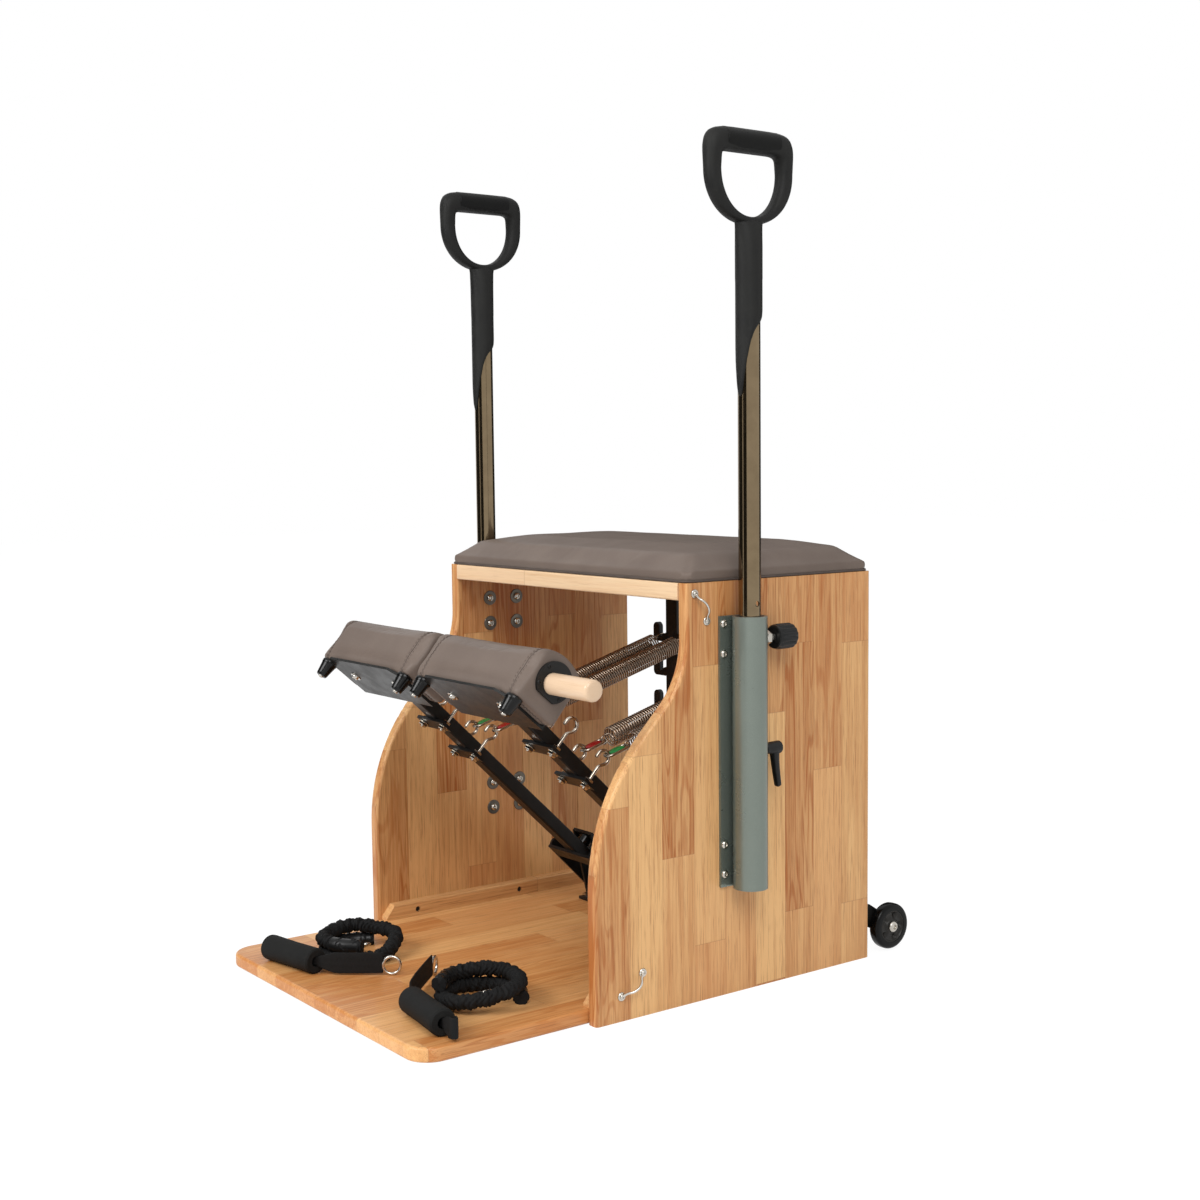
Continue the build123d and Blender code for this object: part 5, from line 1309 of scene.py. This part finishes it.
def make_housings():
    """Bright six-sided housings of the index pins, in the sleeves' walls."""
    shapes = []
    for side, s in SIDES:
        centre = (s * POLE_X, POLE_Y, 0.518)
        profile = [
            (0.0225, 0.0042), (0.0225, 0.0079), (0.0262, 0.0079), (0.0262, 0.0088), (0.0272, 0.0096),
            (0.0335, 0.0096), (0.0345, 0.0088), (0.0345, 0.0070), (0.0425, 0.0070), (0.0430, 0.0062), (0.0430, 0.0042),
        ]
        six = (0, 0, 0, 0.7, 1, 1, 0.7, 0, 0, 0, 0)
        shapes.append(turned(profile, centre, (0, 1, 0), 36, six, ring=True))
    piece("pin_housings", shapes, bright_steel, "frame", ["index_housings"])


def make_lever(side, s):
    """A clamp lever: a hub on its screw, and a tapering arm that hangs a little off the sleeve."""
    centre = np.array((s * POLE_X, POLE_Y, 0.358))
    screw = turned([(0.0172, 0.0038), (0.0300, 0.0038)], centre, (0, 1, 0), 16)
    hub = turned(
        [
            (0.0282, 0.004), (0.0282, 0.0072), (0.0290, 0.0078), (0.0350, 0.0080), (0.0372, 0.0088),
            (0.0530, 0.0094), (0.0552, 0.0090), (0.0562, 0.0076), (0.0562, 0.004),
        ],
        centre,
        (0, 1, 0),
        32,
    )
    share = np.linspace(0, 1, 16)
    path = centre + np.stack([np.zeros(16), 0.0455 + 0.008 * share**1.4, 0.002 - 0.060 * share], -1)
    arm = tube(
        path,
        np.interp(share, (0, 0.3, 1), (0.0082, 0.0066, 0.0052)),
        np.interp(share, (0, 0.3, 1), (0.0068, 0.0052, 0.0042)),
        sides=20,
        first=(0, 1, 0),
        power=2.8,
        rounding=0.0035,
    )
    piece(
        f"clamp_{side}", [screw, hub, arm], knob_plastic, f"clamp_lever_{side}", [f"clamp_lever_{side}"]
    )


def make_sleeve_bolts():
    """Domed screws on the sleeves' flanges, and washered nuts on the panels' inner faces."""
    shapes, washers = [], []
    for side, s in SIDES:
        for y in (POLE_Y - 0.027, POLE_Y + 0.027):
            for z in (0.179, 0.222, 0.497, 0.540):
                shapes += button_screw((s * (PANEL_OUT + 0.004), y, z), (s, 0, 0), 0.0060, 0.0036)
                disc = [(0.0, 0.002), (0.0, 0.0122), (0.0011, 0.0122), (0.0015, 0.0116), (0.0015, 0.002)]
                washers.append(turned(disc, (s * PANEL_IN, y, z), (-s, 0, 0), 32))
                shapes += button_screw((s * (PANEL_IN - 0.0015), y, z), (-s, 0, 0), 0.0060, 0.0036)
    piece("sleeve_washers", washers, washer_steel, "frame")
    piece("sleeve_screws", shapes, bright_steel, "frame", ["sleeve_bolts"])


for side, s in SIDES:
    make_grip(side, s)
    make_knob(side, s)
    make_lever(side, s)
make_housings()
make_sleeve_bolts()

# ------------------------------------------------------------------ dowel, wheels and eyes


def make_dowel():
    """The dowel through both pads, with softly rounded ends."""
    centre = pad_point(0.0, 0.0385, 0.044)
    profile = [(-0.235, 0.002), (-0.235, 0.0105), (-0.2343, 0.0130), (-0.2325, 0.0146), (-0.2300, 0.0150)]
    profile += [(along, 0.0150) for along in np.linspace(-0.20, 0.35, 12)]
    profile += [(0.3700, 0.0150), (0.3722, 0.0145), (0.3740, 0.0130), (0.3750, 0.0105), (0.3750, 0.002)]
    piece("dowel_rod", [turned(profile, centre, (1, 0, 0), 40)], dowel_wood, "dowel", ["dowel"])


def make_wheel(side, s):
    """A transport wheel: a rounded tyre and a dished hub with five dimples."""
    centre = np.array((s * 0.2927, WHEEL_Y, WHEEL_Z))
    arc = np.linspace(0, math.pi / 2, 6)
    outer = [(0.018 - 0.0055 * (1 - math.sin(a)), 0.0305 + 0.0055 * math.cos(a)) for a in arc[::-1]]
    tyre = [(0.0, 0.0250), (0.0, 0.0290)] + [(0.018 - along, radius) for along, radius in outer] + outer[::-1]
    tyre += [(0.018, 0.0250)]
    piece(f"tyre_{side}", [turned(tyre, centre, (s, 0, 0), 64, ring=True)], tyre_rubber, f"wheel_{side}", [f"wheel_tyre_{side}"])
    rows = np.array(
        [
            (0.0005, 0.0041), (0.0005, 0.0249), (0.0175, 0.0249), (0.0178, 0.0235), (0.0160, 0.0222), (0.0152, 0.0205),
            (0.0150, 0.0180), (0.0152, 0.0155), (0.0158, 0.0130), (0.0176, 0.0112), (0.0178, 0.0090), (0.0178, 0.0041),
        ]
    )
    turn = np.arange(80) * 2 * math.pi / 80
    dimple = np.exp(-(((rows[:, 1] - 0.0180) / 0.0032) ** 2))[:, None] * np.clip(np.cos(5 * turn), 0, 1) ** 2
    dimple[:3] = 0
    along = rows[:, 0][:, None] - 0.0042 * dimple
    points = np.stack(
        [
            centre[0] + s * along,
            centre[1] + rows[:, 1][:, None] * np.cos(turn),
            centre[2] + rows[:, 1][:, None] * np.sin(turn),
        ],
        -1,
    )
    piece(f"hub_{side}", [shell(points, close_rows=True)], hub_plastic, f"wheel_{side}", [f"wheel_hub_{side}"])


def make_wheel_bolts():
    """The wheels' axles with domed caps, and the screws of their brackets."""
    shapes = []
    for side, s in SIDES:
        axle = [(0.2840, 0.0030), (0.2840, 0.0058), (0.2876, 0.0060), (0.2877, 0.0039), (0.3115, 0.0039), (0.3115, 0.0030)]
        shapes.append(turned([(s * a, r) for a, r in axle], (0, WHEEL_Y, WHEEL_Z), (1, 0, 0), 24))
        shapes += button_screw((s * 0.3112, WHEEL_Y, WHEEL_Z), (s, 0, 0), 0.0088, 0.0042)
        for y in (0.3283, 0.3004):
            shapes += button_screw((s * 0.2877, y, 0.061), (-s, 0, 0), 0.0058, 0.0034)
    piece("wheel_screws", shapes, bright_steel, "frame", ["wheel_bolts"])


def make_pad_eyes():
    """Wire eyes on the panels: a wire that leaves one round foot, bows out in an S and ends in the other."""
    shapes = []
    for side, s in SIDES:
        for bow, feet in ((-1, ((0.0027, 0.5851), (0.0245, 0.5453))), (1, ((-0.1327, 0.0357), (-0.0952, 0.0623)))):
            (y1, z1), (y2, z2) = feet
            first, last = np.array((s * PANEL_OUT, y1, z1)), np.array((s * PANEL_OUT, y2, z2))
            span = last - first
            aside = np.cross(span / np.linalg.norm(span), (s, 0, 0))
            shares = np.array((0.0, 0.14, 0.30, 0.5, 0.70, 0.86, 1.0))
            lift = np.array((0.0036, 0.0050, 0.0115, 0.0130, 0.0115, 0.0042, 0.0036))
            sway = bow * np.array((0.0, -0.0008, 0.0026, 0.0042, 0.0034, 0.0, 0.0))
            route = first + shares[:, None] * span + lift[:, None] * np.array((s, 0, 0)) + sway[:, None] * aside
            path, _ = evenly(spline_points(route, 10), 0.0018)
            shapes.append(tube(path, 0.0018, sides=12, first=aside, rounding=0.0015))
            for foot in (first, last):
                disc = [(0.0, 0.002), (0.0, 0.0062), (0.0016, 0.0062), (0.0024, 0.0055), (0.0024, 0.002)]
                shapes.append(turned(disc, foot, (s, 0, 0), 28))
                shapes += button_screw(foot + np.array((s * 0.0024, 0, 0)), (s, 0, 0), 0.0036, 0.0020, sides=20)
    piece("panel_eyes", shapes, bright_steel, "frame", ["pad_eyes"])


make_dowel()
for side, s in SIDES:
    make_wheel(side, s)
make_wheel_bolts()
make_pad_eyes()

# ------------------------------------------------------------------ finishes of the solids that stay

FINISHES = {
    panel_wood: ("side_panel_left", "side_panel_right"),
    base_wood: ("base_board",),
    seat_wood: ("seat_board",),
    cleat_wood: ("base_cleats",),
    black_steel: (
        "spring_trees", "pivot_brackets", "pedal_frame_left", "pedal_frame_right", "pad_flange_left",
        "pad_flange_right", "wheel_brackets", "cleat_screws", "pivot_pins",
    ),
    plate_steel: ("pad_bracket_left", "pad_bracket_right"),
    bright_steel: ("frame_bolts",),
    pole_chrome: ("handle_pole_left", "handle_pole_right"),
    sleeve_paint: ("handle_sleeves",),
    bush_plastic: ("sleeve_liners", "pivot_bushes_left", "pivot_bushes_right"),
    stop_rubber: ("rubber_stops",),
}
for finish, names in FINISHES.items():
    for name in names:
        mesh = nodes[name].data
        mesh.materials.clear()
        mesh.materials.append(finish)

# ------------------------------------------------------------------ floor, light and world


def make_floor():
    """A pale floor: what the camera and mirrors see of it is nearly white, and it keeps the chair's shadow."""
    mesh = bpy.data.meshes.new("floor")
    reach = 14.0
    mesh.from_pydata([(-reach, -reach, 0), (reach, -reach, 0), (reach, reach, 0), (-reach, reach, 0)], [], [(0, 1, 2, 3)])
    floor = bpy.data.objects.new("floor", mesh)
    bpy.context.scene.collection.objects.link(floor)
    material = bpy.data.materials.new("pale_floor")
    material.use_nodes = True
    tree = material.node_tree
    shader = tree.nodes["Principled BSDF"]
    shader.inputs["Base Color"].default_value = (0.9, 0.9, 0.9, 1)
    shader.inputs["Roughness"].default_value = 0.9
    glow = add(tree, "ShaderNodeEmission", {"Color": (1, 1, 1, 1), "Strength": 1.10})
    rays = tree.nodes.new("ShaderNodeLightPath").outputs
    seen = maths(tree, "MAXIMUM", rays["Is Camera Ray"], rays["Is Glossy Ray"])
    seen = maths(tree, "MAXIMUM", seen, rays["Is Transmission Ray"])
    mixed = tree.nodes.new("ShaderNodeMixShader")
    tree.links.new(maths(tree, "MULTIPLY", seen, 0.84), mixed.inputs[0])
    tree.links.new(shader.outputs[0], mixed.inputs[1])
    tree.links.new(glow.outputs[0], mixed.inputs[2])
    tree.links.new(mixed.outputs[0], tree.nodes["Material Output"].inputs[0])
    mesh.materials.append(material)


def make_world(level=0.50):
    """A white world for the camera and for mirrors, and plain even light for everything else."""
    world = bpy.data.worlds.new("studio")
    bpy.context.scene.world = world
    world.use_nodes = True
    tree = world.node_tree
    rays = tree.nodes.new("ShaderNodeLightPath").outputs
    seen = maths(tree, "MAXIMUM", rays["Is Camera Ray"], rays["Is Glossy Ray"])
    seen = maths(tree, "MAXIMUM", seen, rays["Is Transmission Ray"])
    background = tree.nodes["Background"]
    background.inputs[0].default_value = (1, 1, 1, 1)
    tree.links.new(ranged(tree, seen, 0, 1, level, 1.0, smooth=False), background.inputs[1])


def area_light(name, place, target, size, power):
    """A soft square lamp that faces a point."""
    data = bpy.data.lights.new(name, "AREA")
    data.shape, data.size, data.energy = "SQUARE", size, power
    lamp = bpy.data.objects.new(name, data)
    bpy.context.scene.collection.objects.link(lamp)
    lamp.location = place
    lamp.rotation_euler = (Vector(target) - Vector(place)).to_track_quat("-Z", "Y").to_euler()


def dark_cards():
    """Dark cards that only mirrors see, on an arc: two in front with a narrow gap, and one behind."""
    material = bpy.data.materials.new("dark_card")
    material.use_nodes = True
    shader = material.node_tree.nodes["Principled BSDF"]
    shader.inputs["Base Color"].default_value = (0.012, 0.011, 0.009, 1)
    for name, low, high in (("near", -63, -101), ("far", -109, -170), ("behind", 78, 150)):
        turn = np.radians(np.linspace(low, high, 14))
        ring = np.stack([3.5 * np.cos(turn), 3.5 * np.sin(turn)], -1)
        rows = np.stack([np.c_[ring, np.full(14, 0.06)], np.c_[ring, np.full(14, 2.9)]])
        mesh = bpy.data.meshes.new(f"dark_card_{name}")
        mesh.from_pydata(rows.reshape(-1, 3).tolist(), [], grid_faces(2, 14, close_ring=False).tolist())
        mesh.materials.append(material)
        card = bpy.data.objects.new(f"dark_card_{name}", mesh)
        bpy.context.scene.collection.objects.link(card)
        card.visible_camera = card.visible_diffuse = card.visible_shadow = card.visible_transmission = False


make_floor()
make_world()
dark_cards()
area_light("key", (2.6, -1.4, 2.8), (0, 0, 0.4), 1.8, 62)
area_light("front", (-0.3, -3.3, 2.3), (0, 0, 0.2), 1.8, 92)
bpy.context.scene.view_settings.view_transform = "Standard"
